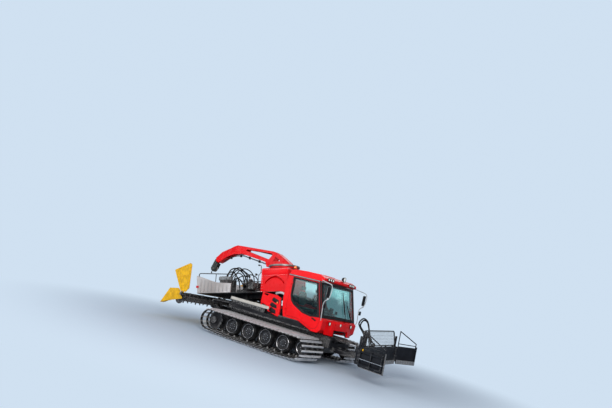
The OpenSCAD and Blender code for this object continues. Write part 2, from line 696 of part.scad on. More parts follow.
// Knuckle of a door, with its leaf on the outer face
module door_knuckle() color(red) for (z = door_knuckles) {
    translate([door_pin_x, -door_pin_y, z]) cylinder(r = knuckle_r, h = knuckle_h);
    block([door_pin_x, -door_pin_y - knuckle_r + 4, z], [door_pin_x + 80, -cab_y - 1, z + knuckle_h]);
    block([door_pin_x + 55, -cab_y - 3, z], [door_pin_x + 80, -cab_y + 3, z + knuckle_h]);
}
g = door_gap;
door_inner = [
    [door_x0 + 60 + g, cab_z0 + 62 + g], [sill_x + g * 0.2, cab_z0 + 62 + g], [1540 + g * 0.2, 1075 + g], [1700 - g * 0.8, 1120 + g * 0.9],
    [1775 - g, 1240 + g * 0.3], [screen_x(screen_z0) - 75 - g, screen_z0], [screen_x(2620) - 75 - g * 0.8, 2620 - g], [door_x0 + g, 2620 - g],
    [door_x0 + g, 1700]
];
module door_right() machine() {
    door();
    door_knuckle();
}
module door_left() machine() mirror([0, 1, 0]) {
    door();
    door_knuckle();
}

module door_glass() color(glass_c) intersection() {
    side_prism(window_outline, -cab_y + 16, -cab_y + 16 + glass_t);
    side_prism([for (p = window_outline) p], -cab_y, -cab_y + cab_wall);
}
module door_right_glass() machine() door_glass();
module door_left_glass() machine() mirror([0, 1, 0]) door_glass();

// Hydraulic cylinders. Each has a trunnion at a and a moving eye at b, both [x, z].
lift_cyl_y = 290;
lift_cyl_a = [2118, 905];
lift_cyl_b = [2920, 880];
pitch_cyl_a = [2980, 1370];
pitch_cyl_b = [3330, 1080];
tiller_cyl_y = 250;
tiller_cyl_a = [-2448, 900];
tiller_cyl_b = [-3300, 900];
bed_cyl_a = [-1330, 1080];
bed_cyl_b = [-820, 1690];
rod_r = 24;
barrel_r = 46;
neck_r = 25;
eye_r = 42;
eye_half = 28;
barrel_share = 0.62;
rod_share = 0.45;

// Barrel from trunnion a towards eye b, bored for its rod
module barrel(a, b, y) {
    d = (b - a) / norm(b - a);
    tip = a + d * norm(b - a) * barrel_share;
    foot = a + d * 90;
    end = tip + d * 5;
    difference() {
        union() {
            rod([a[0], y, a[1]], [a[0] + d[0] * 75, y, a[1] + d[1] * 75], neck_r);
            rod([a[0] + d[0] * 66, y, a[1] + d[1] * 66], [tip[0], y, tip[1]], barrel_r);
            translate([a[0], y - eye_half, a[1]]) rotate([-90, 0, 0]) cylinder(r = eye_r, h = 2 * eye_half);
            translate([a[0], y - lug_y - lug_t / 2, a[1]]) rotate([-90, 0, 0]) cylinder(r = cyl_pin_r, h = 2 * lug_y + lug_t);
        }
        rod([foot[0], y, foot[1]], [end[0], y, end[1]], rod_r + seat_gap);
    }
}
// Rod from inside the barrel to its eye at b
module piston(a, b, y) {
    d = (b - a) / norm(b - a);
    foot = a + d * norm(b - a) * rod_share;
    rod([foot[0], y, foot[1]], [b[0] - d[0] * 20, y, b[1] - d[1] * 20], rod_r);
    translate([b[0], y - eye_half, b[1]]) rotate([-90, 0, 0]) cylinder(r = eye_r, h = 2 * eye_half);
}
// Pair of cheeks beside a rod's eye, from the eye b to the points p and q of the frame
module cheeks(b, y, p, q) {
    for (s = [-1, 1])
        side_prism([p, q, b + [eye_r, 0], b + [eye_r * 0.6, eye_r], b + [-eye_r * 0.6, eye_r], b + [-eye_r, 0]],
            y + s * lug_y - lug_t / 2, y + s * lug_y + lug_t / 2);
}

module lift_barrels() machine() color(dark) both_sides() barrel(lift_cyl_a, lift_cyl_b, -lift_cyl_y);
module lift_rods() machine() color(steel) both_sides() piston(lift_cyl_a, lift_cyl_b, -lift_cyl_y);

// Lift frame: two arms, a cross beam, the mast and the fork that the blade head sits in
module lift_frame() machine() color(black) {
    both_sides() {
        difference() {
            side_prism([
                [lift_x - 62, lift_z], [lift_x, lift_z - 62], [2500, 470], [3000, 520], [3100, 600], [3100, 700],
                [2960, 700], [2800, 690], [2400, 620], [lift_x, lift_z + 62]
            ], -lift_half + 36, -lift_half + 96);
            translate([lift_x, -lift_half, lift_z]) rotate([-90, 0, 0]) cylinder(r = pin_r - 1, h = 150);
        }
        // Pivot pin in the chassis lug
        translate([lift_x, -lift_half - 45, lift_z]) rotate([-90, 0, 0]) cylinder(r = pin_r, h = 145);
        cheeks(lift_cyl_b, -lift_cyl_y, [2900, 640], [3060, 640]);
        // Mast plates
        difference() {
            side_prism([[2900, 690], [3060, 690], [3030, 1080], [3030, 1400], [2940, 1420], [2930, 1080]], -72, -48);
            translate([pitch_cyl_a[0], -80, pitch_cyl_a[1]]) rotate([-90, 0, 0]) cylinder(r = cyl_pin_r + 0.05, h = 40);
        }
        // Fork arms
        side_prism([[3050, 560], [head_x, head_z - 66], [head_x + 50, head_z], [head_x, head_z + 66], [3050, 700]], -190, -150);
    }
    block([2900, -lift_half + 90, 560], [3060, lift_half - 90, 700]);
    block([2960, -50, 695], [3020, 50, 1240]);
}

module pitch_cylinder() machine() color(dark) {
    barrel(pitch_cyl_a, pitch_cyl_b, 0);
    piston(pitch_cyl_a, pitch_cyl_b, 0);
}

// The blade and the pin on which it turns are rolled about the middle of the head
module rolled() translate([0, 0, head_z]) rotate([blade_roll, 0, 0]) translate([0, 0, -head_z]) children();

// Head in the fork of the lift frame, with the upright pin on which the blade turns
head_x = yaw_x - 140;
yaw_r = 45;
socket_h = 60;
hub_half = 105;
module blade_head() machine() color(dark) {
    side_prism([[head_x - 50, head_z - 40], [head_x + 20, head_z - 70], [yaw_x - 20, head_z - 80], [yaw_x - 20, head_z + 80], [head_x + 20, head_z + 70], [head_x - 50, head_z + 40]],
        -150 + seat_gap, 150 - seat_gap);
    rolled() translate([yaw_x, 0, head_z - hub_half]) cylinder(r = yaw_r + 20, h = 2 * hub_half);
    rolled() translate([yaw_x, 0, head_z - hub_half - socket_h]) cylinder(r = yaw_r, h = 2 * hub_half + 2 * socket_h);
    // Upright lugs of the pitch cylinder
    for (s = [-1, 1])
        side_prism([[head_x - 50, head_z + 30], [head_x + 30, head_z + 60], pitch_cyl_b + [eye_r, 0], pitch_cyl_b + [0, eye_r], pitch_cyl_b + [-eye_r, 0]],
            s * lug_y - lug_t / 2, s * lug_y + lug_t / 2);
}

// Outline of the curved mouldboard, from its lower edge up the front and down the back
edge_h = 130;
module mouldboard(y0, y1, h) {
    n = 10;
    sag = asin(blade_h / 2 / blade_r);
    c = [blade_x + blade_r * cos(sag), blade_z0 + blade_h / 2];
    front = arc(c, blade_r, 180 + sag, 180 + sag - 2 * sag * h / blade_h, n);
    back = arc(c, blade_r + blade_t, 180 + sag - 2 * sag * h / blade_h, 180 + sag, n);
    side_prism(concat(front, back), y0, y1);
}
// Beams behind the blade at two heights
beam_h = 90;
beam_z = [blade_z0 + 40, blade_z0 + blade_h - 140];
knuckle_z = [blade_z0 + 90, blade_z0 + 390];
wing_knuckle_z = [blade_z0 + 195, blade_z0 + 300];
module blade_center() machine() rolled() color(black) {
    mouldboard(-blade_y + 46, blade_y - 46, blade_h);
    difference() {
        union() {
            for (z = beam_z) block([blade_x - 180, -blade_y + 60, z], [blade_x - 60, blade_y - 60, z + beam_h]);
            for (y = [-1270, -820, -330, 330, 820, 1270])
                block([blade_x - 170, y - 14, blade_z0 + 30], [blade_x - 50, y + 14, blade_z0 + blade_h - 30]);
            // Sockets of the upright pin
            for (z = [head_z - hub_half - socket_h, head_z + hub_half + seat_gap]) {
                translate([yaw_x, 0, z]) cylinder(r = yaw_r + 35, h = socket_h - seat_gap);
                block([yaw_x, -90, z], [blade_x - 30, 90, z + socket_h - seat_gap]);
            }
        }
        translate([yaw_x, 0, head_z - 2 * hub_half]) cylinder(r = yaw_r + 0.05, h = 4 * hub_half);
        // Room for the head between the sockets
        translate([yaw_x, 0, head_z - hub_half - seat_gap]) cylinder(r = yaw_r + 32, h = 2 * hub_half + 2 * seat_gap);
    }
    block([blade_x - edge_t / 2, -blade_y + 46, blade_z0 - 30], [blade_x + edge_t / 2, blade_y - 46, blade_z0 + edge_h - 30]);
    // Knuckles and upright plates of the wings' hinges
    both_sides() {
        for (z = knuckle_z) difference() {
            union() {
                translate([blade_x - wing_pin_back, -blade_y, z]) cylinder(r = 38, h = 100);
                block([blade_x - 100, -blade_y, z], [blade_x - wing_pin_back, -blade_y + 70, z + 100]);
            }
            translate([blade_x - wing_pin_back, -blade_y, z - 1]) cylinder(r = wing_pin_r + 0.05, h = 102);
        }
        block([blade_x - 110, -blade_y + 45, blade_z0 + 40], [blade_x - 40, -blade_y + 70, blade_z0 + blade_h + 340]);
    }
}
wing_pin_r = 18;

// Leaning mesh guard on top of the blade: frame and bars
guard_base = 1240;
guard_top = 1110;
guard_lean = 110;
guard_bars = 15;
module blade_guard() machine() rolled() color(black) {
    z0 = blade_z0 + blade_h + 30;
    z1 = blade_z0 + blade_h + guard_h;
    p0 = [blade_x - 60, -guard_base, z0];
    p1 = [blade_x - 60, guard_base, z0];
    q0 = [blade_x - guard_lean, -guard_top, z1];
    q1 = [blade_x - guard_lean, guard_top, z1];
    tube_path([p0, p1], 20);
    tube_path([p0, q0, q1, p1], 20);
    for (i = [1 : guard_bars - 1]) {
        t = i / guard_bars;
        rod(p0 + (p1 - p0) * t, q0 + (q1 - q0) * t, 6, $fn = 6);
    }
    for (t = [0.25, 0.5, 0.75]) rod(p0 + (q0 - p0) * t, p1 + (q1 - p1) * t, 6, $fn = 6);
    // Feet on the blade's top edge
    for (y = [-1100, -550, 550, 1100])
        block([blade_x - 90, y - 15, blade_z0 + blade_h - 40], [blade_x - 50, y + 15, z0]);
}

// Wing, drawn in line with the blade and turned about its pin
wing_gap = 62;
module wing(rest) {
    translate([blade_x - wing_pin_back, -blade_y, 0]) rotate([0, 0, rest]) translate([wing_pin_back - blade_x, blade_y, 0]) color(black) {
        y1 = -blade_y - wing_gap;
        y0 = -blade_y - wing_len;
        top = blade_z0 + blade_h;
        mouldboard(y0, y1, blade_h);
        // End plate at the tip
        side_prism([[blade_x - 70, blade_z0], [blade_x + 10, blade_z0], [blade_x + 10, top + 50], [blade_x - 60, top + 50]], y0, y0 + 14);
        block([blade_x - edge_t / 2, y0, blade_z0 - 30], [blade_x + edge_t / 2, y1, blade_z0 + edge_h - 30]);
        for (z = beam_z) block([blade_x - 120, y0 + 30, z + 20], [blade_x - 60, y1, z + beam_h - 20]);
        for (y = [y0 + 40, y0 + 430, y1 - 40]) block([blade_x - 125, y, blade_z0 + 30], [blade_x - 50, y + 24, top - 30]);
        // Knuckles and pin
        for (z = wing_knuckle_z) {
            translate([blade_x - wing_pin_back, -blade_y, z]) cylinder(r = 38, h = 80);
            block([blade_x - 100, -blade_y - 90, z], [blade_x - wing_pin_back, -blade_y, z + 80]);
        }
        translate([blade_x - wing_pin_back, -blade_y, knuckle_z[0]]) cylinder(r = wing_pin_r, h = knuckle_z[1] + 100 - knuckle_z[0]);
        // Open guard above the wing: posts, sloping rail and middle rail
        for (q = [[y1 - 30, 520], [y0 + 20, 150]]) tube_path([[blade_x - 50, q[0], top - 60], [blade_x - 50, q[0], top + q[1]]], 16);
        tube_path([[blade_x - 50, y1 - 30, top + 520], [blade_x - 50, y0 + 20, top + 150]], 18);
        tube_path([[blade_x - 50, y1 - 30, top + 90], [blade_x - 50, y0 + 20, top + 70]], 14);
    }
}
module wing_right() machine() rolled() wing(wing_right_rest);
module wing_left() machine() rolled() mirror([0, 1, 0]) wing(wing_left_rest);

// Tiller frame between the chassis and the two halves of the tiller
frame_end = rotor_x + hood_r + hood_t + 40;
module tiller_frame() machine() color(black) {
    both_sides() {
        difference() {
            side_prism([
                [hitch_x + 62, hitch_z], [hitch_x, hitch_z - 62], [-3000, 560], [frame_end + 60, rotor_z - 110], [frame_end, rotor_z - 90],
                [frame_end, rotor_z + 30], [frame_end + 120, rotor_z + 30], [-3150, 700], [hitch_x, hitch_z + 62]
            ], -hitch_half + 36, -hitch_half + 96);
            translate([hitch_x, -hitch_half, hitch_z]) rotate([-90, 0, 0]) cylinder(r = pin_r - 1, h = 150);
        }
        translate([hitch_x, -hitch_half - 45, hitch_z]) rotate([-90, 0, 0]) cylinder(r = pin_r, h = 145);
        cheeks(tiller_cyl_b, -tiller_cyl_y, [-3360, 760], [-3260, 720]);
    }
    block([frame_end, -hitch_half + 90, rotor_z - 90], [frame_end + 90, hitch_half - 90, rotor_z + 30]);
    block([-3400, -hitch_half + 90, 690], [-3240, hitch_half - 90, 780]);
}

module tiller_barrels() machine() color(dark) both_sides() barrel(tiller_cyl_a, tiller_cyl_b, -tiller_cyl_y);
module tiller_rods() machine() color(steel) both_sides() piston(tiller_cyl_a, tiller_cyl_b, -tiller_cyl_y);

// One half of the tiller, drawn on the right side
tiller_in = 40;
end_t = 20;
module housing_half() {
    side_prism(concat(
        arc([rotor_x, rotor_z], hood_r + hood_t, -10, 200, 20),
        arc([rotor_x, rotor_z], hood_r, 200, -10, 20)
    ), -tiller_len, -tiller_in);
    // End plates with the rotor's bearings
    for (y = [-tiller_len, -tiller_in - end_t]) difference() {
        side_prism(arc([rotor_x, rotor_z], hood_r + hood_t / 2, 0, 348, 29), y, y + end_t);
        translate([rotor_x, y - 5, rotor_z]) rotate([-90, 0, 0]) cylinder(r = shaft_r + 0.05, h = end_t + 10);
    }
    // Front beam, held by the tiller frame
    block([rotor_x + hood_r, -tiller_len + 40, rotor_z - 70], [frame_end - seat_gap, -tiller_in, rotor_z + 20]);
    // Arm and knuckle of the side finisher
    difference() {
        union() {
            block([finisher_x - 40, -finisher_reach, rotor_z + 140], [finisher_x + 40, -tiller_len + 60, finisher_z - 30]);
            block([finisher_x - 40, -finisher_y - 20, rotor_z + 140], [finisher_x + 40, -finisher_y + 20, finisher_z]);
            translate([finisher_x - 40, -finisher_y, finisher_z]) rotate([0, 90, 0]) cylinder(r = 22, h = 80);
        }
        translate([finisher_x - 50, -finisher_y, finisher_z]) rotate([0, 90, 0]) cylinder(r = 12.05, h = 100);
    }
}
finisher_x = rotor_x + 150;
module tiller_housing() machine() color(black) both_sides() housing_half();

// Rotor with three rows of tines
tine_n = 12;
module rotor() machine() color(steel) {
    translate([rotor_x, -tiller_len + 2, rotor_z]) rotate([-90, 0, 0]) cylinder(r = shaft_r, h = tiller_len - tiller_in - 4);
    translate([rotor_x, -tiller_len + end_t + 8, rotor_z]) rotate([-90, 0, 0])
        cylinder(r = rotor_r / 2, h = tiller_len - tiller_in - 2 * end_t - 16);
    for (k = [0 : tine_n - 1]) {
        y = -tiller_len + 90 + k * (tiller_len - 220) / (tine_n - 1);
        translate([rotor_x, y, rotor_z]) rotate([90, 0, 0]) for (a = [0, 120, 240]) rotate([0, 0, a + k * 30])
            linear_extrude(30) polygon([[rotor_r / 2 - 8, -34], [rotor_r, -8], [rotor_r, 12], [rotor_r / 2 - 8, 34]]);
    }
}
module rotor_right() rotor();
module rotor_left() mirror([0, 1, 0]) rotor();

// Flexible comb behind the hood: panels side by side that hang lower towards the outer end
panel_w = (tiller_len - tiller_in) / panel_n;
panel_teeth = 4;
panel_gap = 2;
function panel_angle(i) = comb_in + (comb_out - comb_in) * pow(i / (panel_n - 1), 2);
module comb() machine() color(ochre) {
    translate([comb_x, -tiller_len, comb_z]) rotate([-90, 0, 0]) cylinder(r = comb_tube, h = tiller_len - tiller_in);
    for (i = [0 : panel_n - 1])
        translate([comb_x, -tiller_in - (i + 1) * panel_w, comb_z]) rotate([0, -panel_angle(i), 0]) {
            translate([-comb_len, panel_gap, -comb_t / 2]) cube([comb_len, panel_w - 2 * panel_gap, comb_t]);
            for (j = [0 : panel_teeth - 1])
                translate([-comb_len - tooth_len, panel_w * (j + 0.25) / panel_teeth, -comb_t / 2 + 2])
                    cube([tooth_len + 5, panel_w / panel_teeth / 2, comb_t - 4]);
            // Rib across the panel
            translate([-comb_len * 0.55, panel_gap, comb_t / 2 - 1]) cube([24, panel_w - 2 * panel_gap, 20]);
        }
    // End plate
    side_prism([
        [comb_x - 700, rotor_z - 325], [comb_x - 390, rotor_z + 265], [comb_x + 50, rotor_z + 340], [comb_x + 165, rotor_z + 270],
        [comb_x + 235, rotor_z + 125], [comb_x + 350, rotor_z + 50], [comb_x + 350, rotor_z]
    ], -tiller_len - 26, -tiller_len - 6);
    translate([comb_x, -tiller_len - 10, comb_z]) rotate([-90, 0, 0]) cylinder(r = comb_tube, h = 20);
}
module comb_right() comb();
module comb_left() mirror([0, 1, 0]) comb();

// Side finisher: a plate on a hinge along the end of the tiller, drawn on the right side and folded up
module side_finisher(lean) machine() color(ochre)
    translate([0, -finisher_y, finisher_z]) rotate([-lean, 0, 0]) translate([0, finisher_y, -finisher_z]) {
        side_prism([
            [finisher_x + 290, finisher_z + 195], [finisher_x + 115, finisher_z + 1060], [finisher_x + 20, finisher_z + 1095],
            [finisher_x - 650, finisher_z + 725], [finisher_x - 670, finisher_z + 690], [finisher_x - 130, finisher_z + 40],
            [finisher_x - 80, finisher_z + 26], [finisher_x + 160, finisher_z + 26]
        ], -finisher_y - 13, -finisher_y + 13);
        for (x = [finisher_x - 80, finisher_x + 40 + seat_gap]) {
            translate([x, -finisher_y, finisher_z]) rotate([0, 90, 0]) cylinder(r = 22, h = 40 - seat_gap);
            block([x, -finisher_y - 13, finisher_z], [x + 40 - seat_gap, -finisher_y + 13, finisher_z + 40]);
        }
        translate([finisher_x - 80, -finisher_y, finisher_z]) rotate([0, 90, 0]) cylinder(r = 12, h = 160);
    }
module side_finisher_right() side_finisher(0);
module side_finisher_left() mirror([0, 1, 0]) side_finisher(finisher_lean);

// Bed. Everything on it is drawn level, measured from its hinge, and tilted once.
module on_bed() machine() translate([hinge_x, 0, hinge_z]) rotate([0, -bed_tilt, 0]) children();

module bed_frame() on_bed() color(black) {
    both_sides() {
        // Long beams
        block([beam_u0, -hinge_half + 120, 110], [tower_u1, -hinge_half + 220, bed_w - 12]);
        // Hinge plates
        difference() {
            side_prism([[-70, 0], [-45, -50], [45, -50], [70, 0], [110, 150], [-110, 150]], -hinge_half + 30, -hinge_half + 80);
            translate([0, -hinge_half, 0]) rotate([-90, 0, 0]) cylinder(r = pin_r + 0.05, h = 120);
        }
        block([-110, -hinge_half + 30, 150], [110, -hinge_half + 130, bed_w - 12]);
        // Hinge pin
        translate([0, -hinge_half - 35, 0]) rotate([-90, 0, 0]) cylinder(r = pin_r, h = 115);
    }
    // Floor
    block([bed_u0 + 10, -bed_y + 6, bed_w - 12], [tower_u1, bed_y - 6, bed_w]);
    // Cross beams
    for (u = [beam_u0, -300, 400, tower_u1 - 80])
        block([u, -hinge_half + 215, 130], [u + 80, hinge_half - 215, bed_w - 12]);
    // Cheeks beside the cylinder's eye
    for (s = [-1, 1])
        side_prism([[bed_b[0] - 60, bed_w - 12], bed_b + [-eye_r, 0], bed_b + [0, -eye_r], bed_b + [eye_r, 0], [bed_b[0] + 60, bed_w - 12]],
            s * lug_y - lug_t / 2, s * lug_y + lug_t / 2);
}
beam_u0 = -1200;
// The cylinder's moving eye, in the bed's own frame
bed_d = bed_cyl_b - [hinge_x, hinge_z];
bed_b = [bed_d[0] * cos(bed_tilt) + bed_d[1] * sin(bed_tilt), -bed_d[0] * sin(bed_tilt) + bed_d[1] * cos(bed_tilt)];

module bed_barrel() machine() color(dark) barrel(bed_cyl_a, bed_cyl_b, 0);
module bed_rod() machine() color(steel) piston(bed_cyl_a, bed_cyl_b, 0);

// Aluminium side and rear panels
module bed_sides() on_bed() color(alu) {
    both_sides() side_prism([
        [bed_u0, bed_w + seat_gap], [bed_u0 - 110, bed_w + side_h0], [bed_u0 + 950, bed_w + side_h0 - 300], [-280, bed_w + side_h1],
        [-280, bed_w + seat_gap]
    ], -bed_y, -bed_y + 30);
    block([bed_u0, -bed_y + 30, bed_w + seat_gap], [bed_u0 + 30, bed_y - 30, bed_w + 420]);
}

// Black tube rail over the bed
rail_w = 1050;
module bed_rail() on_bed() color(black) both_sides() {
    ry = -bed_y + 60;
    tube_path([
        [bed_u0 + 60, ry, bed_w + 7], [bed_u0 + 60, ry, 780], [bed_u0 - 50, ry, rail_w - 60], [bed_u0 - 10, ry, rail_w], [-330, ry, rail_w - 90],
        [-300, ry, rail_w - 130], [-300, ry, bed_w + 7]
    ], 18);
    rod([-1100, ry, rail_w - 45], [-1100, ry, bed_w + seat_gap], 15);
}

// Winch tower: sheet housing with a drum bulge at its foot
module winch_tower() on_bed() color(red) {
    difference() {
        side_prism(concat(
            [[tower_u0, bed_w + seat_gap], [tower_u0, tower_w - 30], [tower_u0 + 30, tower_w], [tower_u1 - 60, tower_w], [tower_u1, tower_w - 70]],
            [[tower_u1, bed_w + 330], [tower_u1, bed_w + seat_gap]]
        ), -tower_y, tower_y);
        // Slot above the drum bulge
        both_sides() side_prism(concat(
            arc([tower_u0 + 610, bed_w + 110], 520, 32, 148, 14),
            arc([tower_u0 + 610, bed_w + 30], 520, 148, 32, 14)
        ), -tower_y - 5, -tower_y + 120);
    }
    // Fixed collar under the slewing ring
    translate([ring_u, 0, tower_w]) cylinder(r = ring_r - 60, h = ring_w - tower_w - 45);
}

// Slewing ring with the turntable on it
module slew_ring() on_bed() color(steel)
    translate([ring_u, 0, ring_w - 45 + seat_gap]) cylinder(r = ring_r, h = 60);

// Boom in the plane of its mast, drawn in U and W: truss base, long arm with an opening, bent nose
boom_base = ring_w + 18;
boom_outer = [
    [620, boom_base], [1740, boom_base], [1640, boom_base + 120], [1180, boom_base + 470], [914, 1930],
    [-780, 2270], [-900, 2290], [-1050, 2260], [-1250, 2190], [-1690, 2060], [-2010, 1830],
    [-1880, 1640], [-1700, 1706], [-1420, 1850], [-1070, 1940], [-640, 1930], [560, 1540]
];
boom_window = [[-440, 2040], [-400, 2090], [840, 1850], [870, 1790], [700, 1620]];
boom_triangle = [[930, 1540], [1040, 1720], [1250, 1540]];
module boom() on_bed() color(red) {
    difference() {
        side_prism(boom_outer, -boom_y, boom_y);
        side_prism(boom_window, -boom_y - 5, boom_y + 5);
        side_prism(boom_triangle, -boom_y - 5, boom_y + 5);
        // The box is open between its two side plates
        side_prism([[560, boom_base + 60], [1500, boom_base + 60], [900, 1840], [-780, 2200], [-1600, 1960], [-1600, 1800], [-640, 1990]],
            -boom_y + 40, boom_y - 40);
    }
}

// Grey head with its rope pulley
module boom_head() on_bed() color(dark) {
    difference() {
        side_prism([[-1990, 1640], [-2020, 1825], [-2090, 1790], [-2290, 1450], [-2260, 1350], [-2130, 1320], [-2020, 1420], [-1920, 1600]],
            -boom_y + 60, boom_y - 60);
        side_prism([[-2360, 1250], [-2360, 1470], [-2120, 1640], [-1900, 1480], [-1900, 1250]], -60, 60);
    }
    translate([-2150, 55, 1420]) rotate([90, 0, 0]) rotate_extrude() polygon([[0, 0], [125, 0], [110, 40], [110, 70], [125, 110], [0, 110]]);
    translate([-2150, -boom_y + 65, 1420]) rotate([-90, 0, 0]) cylinder(r = 30, h = 2 * boom_y - 130);
    // Rope end with its ferrule, hanging from the pulley
    rope_top = [-2277, 0, 1425];
    rope_end = [-2300, 0, 1300];
    rod(rope_top, rope_end, 12);
    rod(rope_end, rope_end + [-8, 0, -60], 24);
}

// Pole with two small lamps behind the tower
module lamp_pole() on_bed() color(black) {
    py = -tower_y + 60;
    tube_path([[560, py, bed_w + 20], [600, py, 960], [700, py, 1060], [690, py, 1320], [600, py, 1340]], 14);
    block([560, py - 40, 1310], [600, py + 40, 1370]);
    rod([600, py, 960], [480, py, 990], 12);
    block([440, py - 40, 950], [500, py + 40, 1030]);
    rod([700, py, 1060], [tower_u0 - seat_gap, py, 1060], 12);
}

// Valve block and hose couplings on the bed
module hydraulic_gear() on_bed() color(dark) {
    block([-560, -380, bed_w + seat_gap], [-60, 300, bed_w + 200]);
    block([-180, -420, bed_w + 200], [260, 120, bed_w + 470]);
    translate([60, -360, bed_w + 470]) cylinder(r = 70, h = 120);
    block([-1180, -700, bed_w + seat_gap], [-760, -180, bed_w + 560]);
}

chassis_frame();
road_wheels();
sprockets();
track_right();
track_left();
side_boxes();
deck();
deck_edges();
engine_block();
side_grilles();
cab_shell();
cab_roof();
windscreen();
nose_panel();
lamps();
mirrors();
cab_interior();
door_right();
door_right_glass();
door_left();
door_left_glass();
lift_frame();
lift_barrels();
lift_rods();
pitch_cylinder();
blade_head();
blade_center();
blade_guard();
wing_right();
wing_left();
tiller_frame();
tiller_barrels();
tiller_rods();
tiller_housing();
rotor_right();
rotor_left();
comb_right();
comb_left();
side_finisher_right();
side_finisher_left();
bed_frame();
bed_sides();
bed_rail();
winch_tower();
lamp_pole();
hydraulic_gear();
bed_barrel();
bed_rod();
slew_ring();
boom();
boom_head();
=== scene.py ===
"""Looks of the winch snow groomer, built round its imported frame.

Metres, with +X forward, +Y left and +Z up. The pieces are drawn from the point on the ground
between the tracks, as the part's own source is, and moved forward by SHIFT into the frame.
"""

import json
import math

import bmesh
import bpy
import numpy as np
from mathutils import Matrix, Vector

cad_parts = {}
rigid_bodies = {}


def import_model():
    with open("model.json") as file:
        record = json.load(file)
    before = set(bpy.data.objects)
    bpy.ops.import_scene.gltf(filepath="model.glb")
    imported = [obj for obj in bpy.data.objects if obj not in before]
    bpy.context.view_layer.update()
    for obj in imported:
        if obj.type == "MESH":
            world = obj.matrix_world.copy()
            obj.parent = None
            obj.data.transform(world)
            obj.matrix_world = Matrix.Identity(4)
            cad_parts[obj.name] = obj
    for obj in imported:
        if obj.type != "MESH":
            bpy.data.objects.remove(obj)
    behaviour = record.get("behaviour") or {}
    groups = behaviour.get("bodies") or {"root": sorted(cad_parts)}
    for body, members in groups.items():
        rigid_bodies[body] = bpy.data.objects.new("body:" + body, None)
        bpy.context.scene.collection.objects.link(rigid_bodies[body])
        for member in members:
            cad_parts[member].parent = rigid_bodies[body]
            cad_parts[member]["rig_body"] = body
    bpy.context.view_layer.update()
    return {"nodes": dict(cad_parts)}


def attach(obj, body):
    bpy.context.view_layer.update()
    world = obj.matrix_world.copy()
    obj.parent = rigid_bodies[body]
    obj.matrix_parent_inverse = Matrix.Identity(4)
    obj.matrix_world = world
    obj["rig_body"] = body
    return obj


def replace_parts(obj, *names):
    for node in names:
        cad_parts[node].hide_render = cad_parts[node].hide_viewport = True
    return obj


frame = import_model()

SHIFT = 0.23083
BED_HINGE = np.array([-2.0, 0.0, 1.3])
BED_TILT = 13


# Shapes


def unit(v):
    """Vectors scaled to length one."""
    return v / np.maximum(np.linalg.norm(v, axis=-1, keepdims=True), 1e-9)


def tipped(p, degrees, centre):
    """Points turned about Y through the origin, with +X going up, then moved to the centre."""
    p = np.asarray(p, float)
    c, s = math.cos(math.radians(degrees)), math.sin(math.radians(degrees))
    return np.stack([p[..., 0] * c - p[..., 2] * s, p[..., 1], p[..., 0] * s + p[..., 2] * c], -1) + centre


def on_bed(p):
    """Points drawn on the level bed and measured from its hinge, brought to the tilted bed."""
    return tipped(p, BED_TILT, BED_HINGE)


def at_y(y, route):
    """Points of a route in X and Z, all at one Y."""
    return np.array([(u, y, w) for u, w in route])


def rectangle(x0, x1, z0, z1):
    """Corners of a rectangle between two values of each coordinate."""
    return np.array([(x0, z0), (x1, z0), (x1, z1), (x0, z1)])


def round_angles(count):
    """Evenly spaced angles of a full turn."""
    return np.arange(count) * 2 * math.pi / count


def arc(centre, radius, angles):
    """Points at some angles of a circle about an axis along Y."""
    return np.array(centre) + radius * np.stack([np.cos(angles), 0 * angles, np.sin(angles)], -1)


def lengths(path):
    """Length run along a path at each of its points."""
    return np.concatenate([[0], np.cumsum(np.linalg.norm(np.diff(path, axis=0), axis=1))])


def fillet(points, radius, steps=5, closed=False):
    """Points with each corner replaced by a quadratic curve: (1-t)^2 A + 2t(1-t) C + t^2 B, where A and B
    lie radius before and after the corner C, or less on a short side."""
    p = np.asarray(points, float)
    if not closed:
        body = p[1:-1]
        before, after = p[:-2] - body, p[2:] - body
    else:
        body = p
        before, after = np.roll(p, 1, 0) - p, np.roll(p, -1, 0) - p
    reach = lambda v: v * np.minimum(radius / np.linalg.norm(v, axis=1), 0.46)[:, None]
    a, b = body + reach(before), body + reach(after)
    t = np.linspace(0, 1, steps)[None, :, None]
    bend = (1 - t) ** 2 * a[:, None] + 2 * t * (1 - t) * body[:, None] + t**2 * b[:, None]
    bend = bend.reshape(-1, p.shape[1])
    return bend if closed else np.vstack([p[:1], bend, p[-1:]])


def spline(points, steps=8):
    """Smooth path through the points: the Catmull-Rom cubic on each span."""
    p = np.asarray(points, float)
    p = np.vstack([2 * p[0] - p[1], p, 2 * p[-1] - p[-2]])
    a, b, c, d = p[:-3, None], p[1:-2, None], p[2:-1, None], p[3:, None]
    t = np.linspace(0, 1, steps, endpoint=False)[None, :, None]
    square, cube = 2 * a - 5 * b + 4 * c - d, 3 * b - a - 3 * c + d
    curve = 0.5 * (2 * b + (c - a) * t + square * t**2 + cube * t**3)
    return np.vstack([curve.reshape(-1, p.shape[1]), p[-2:-1]])


def inward(outline):
    """Direction from each corner of a closed outline to its inside, as long as moves both sides by one."""
    o = np.asarray(outline, float)
    area = np.sum(o[:, 0] * np.roll(o[:, 1], -1) - np.roll(o[:, 0], -1) * o[:, 1])
    ahead, behind = unit(np.roll(o, -1, 0) - o), unit(o - np.roll(o, 1, 0))
    left = lambda d: np.stack([-d[:, 1], d[:, 0]], -1)
    way = left(ahead) + left(behind)
    return math.copysign(1, area) * way / np.maximum(0.35, np.sum(way * left(ahead), 1))[:, None]


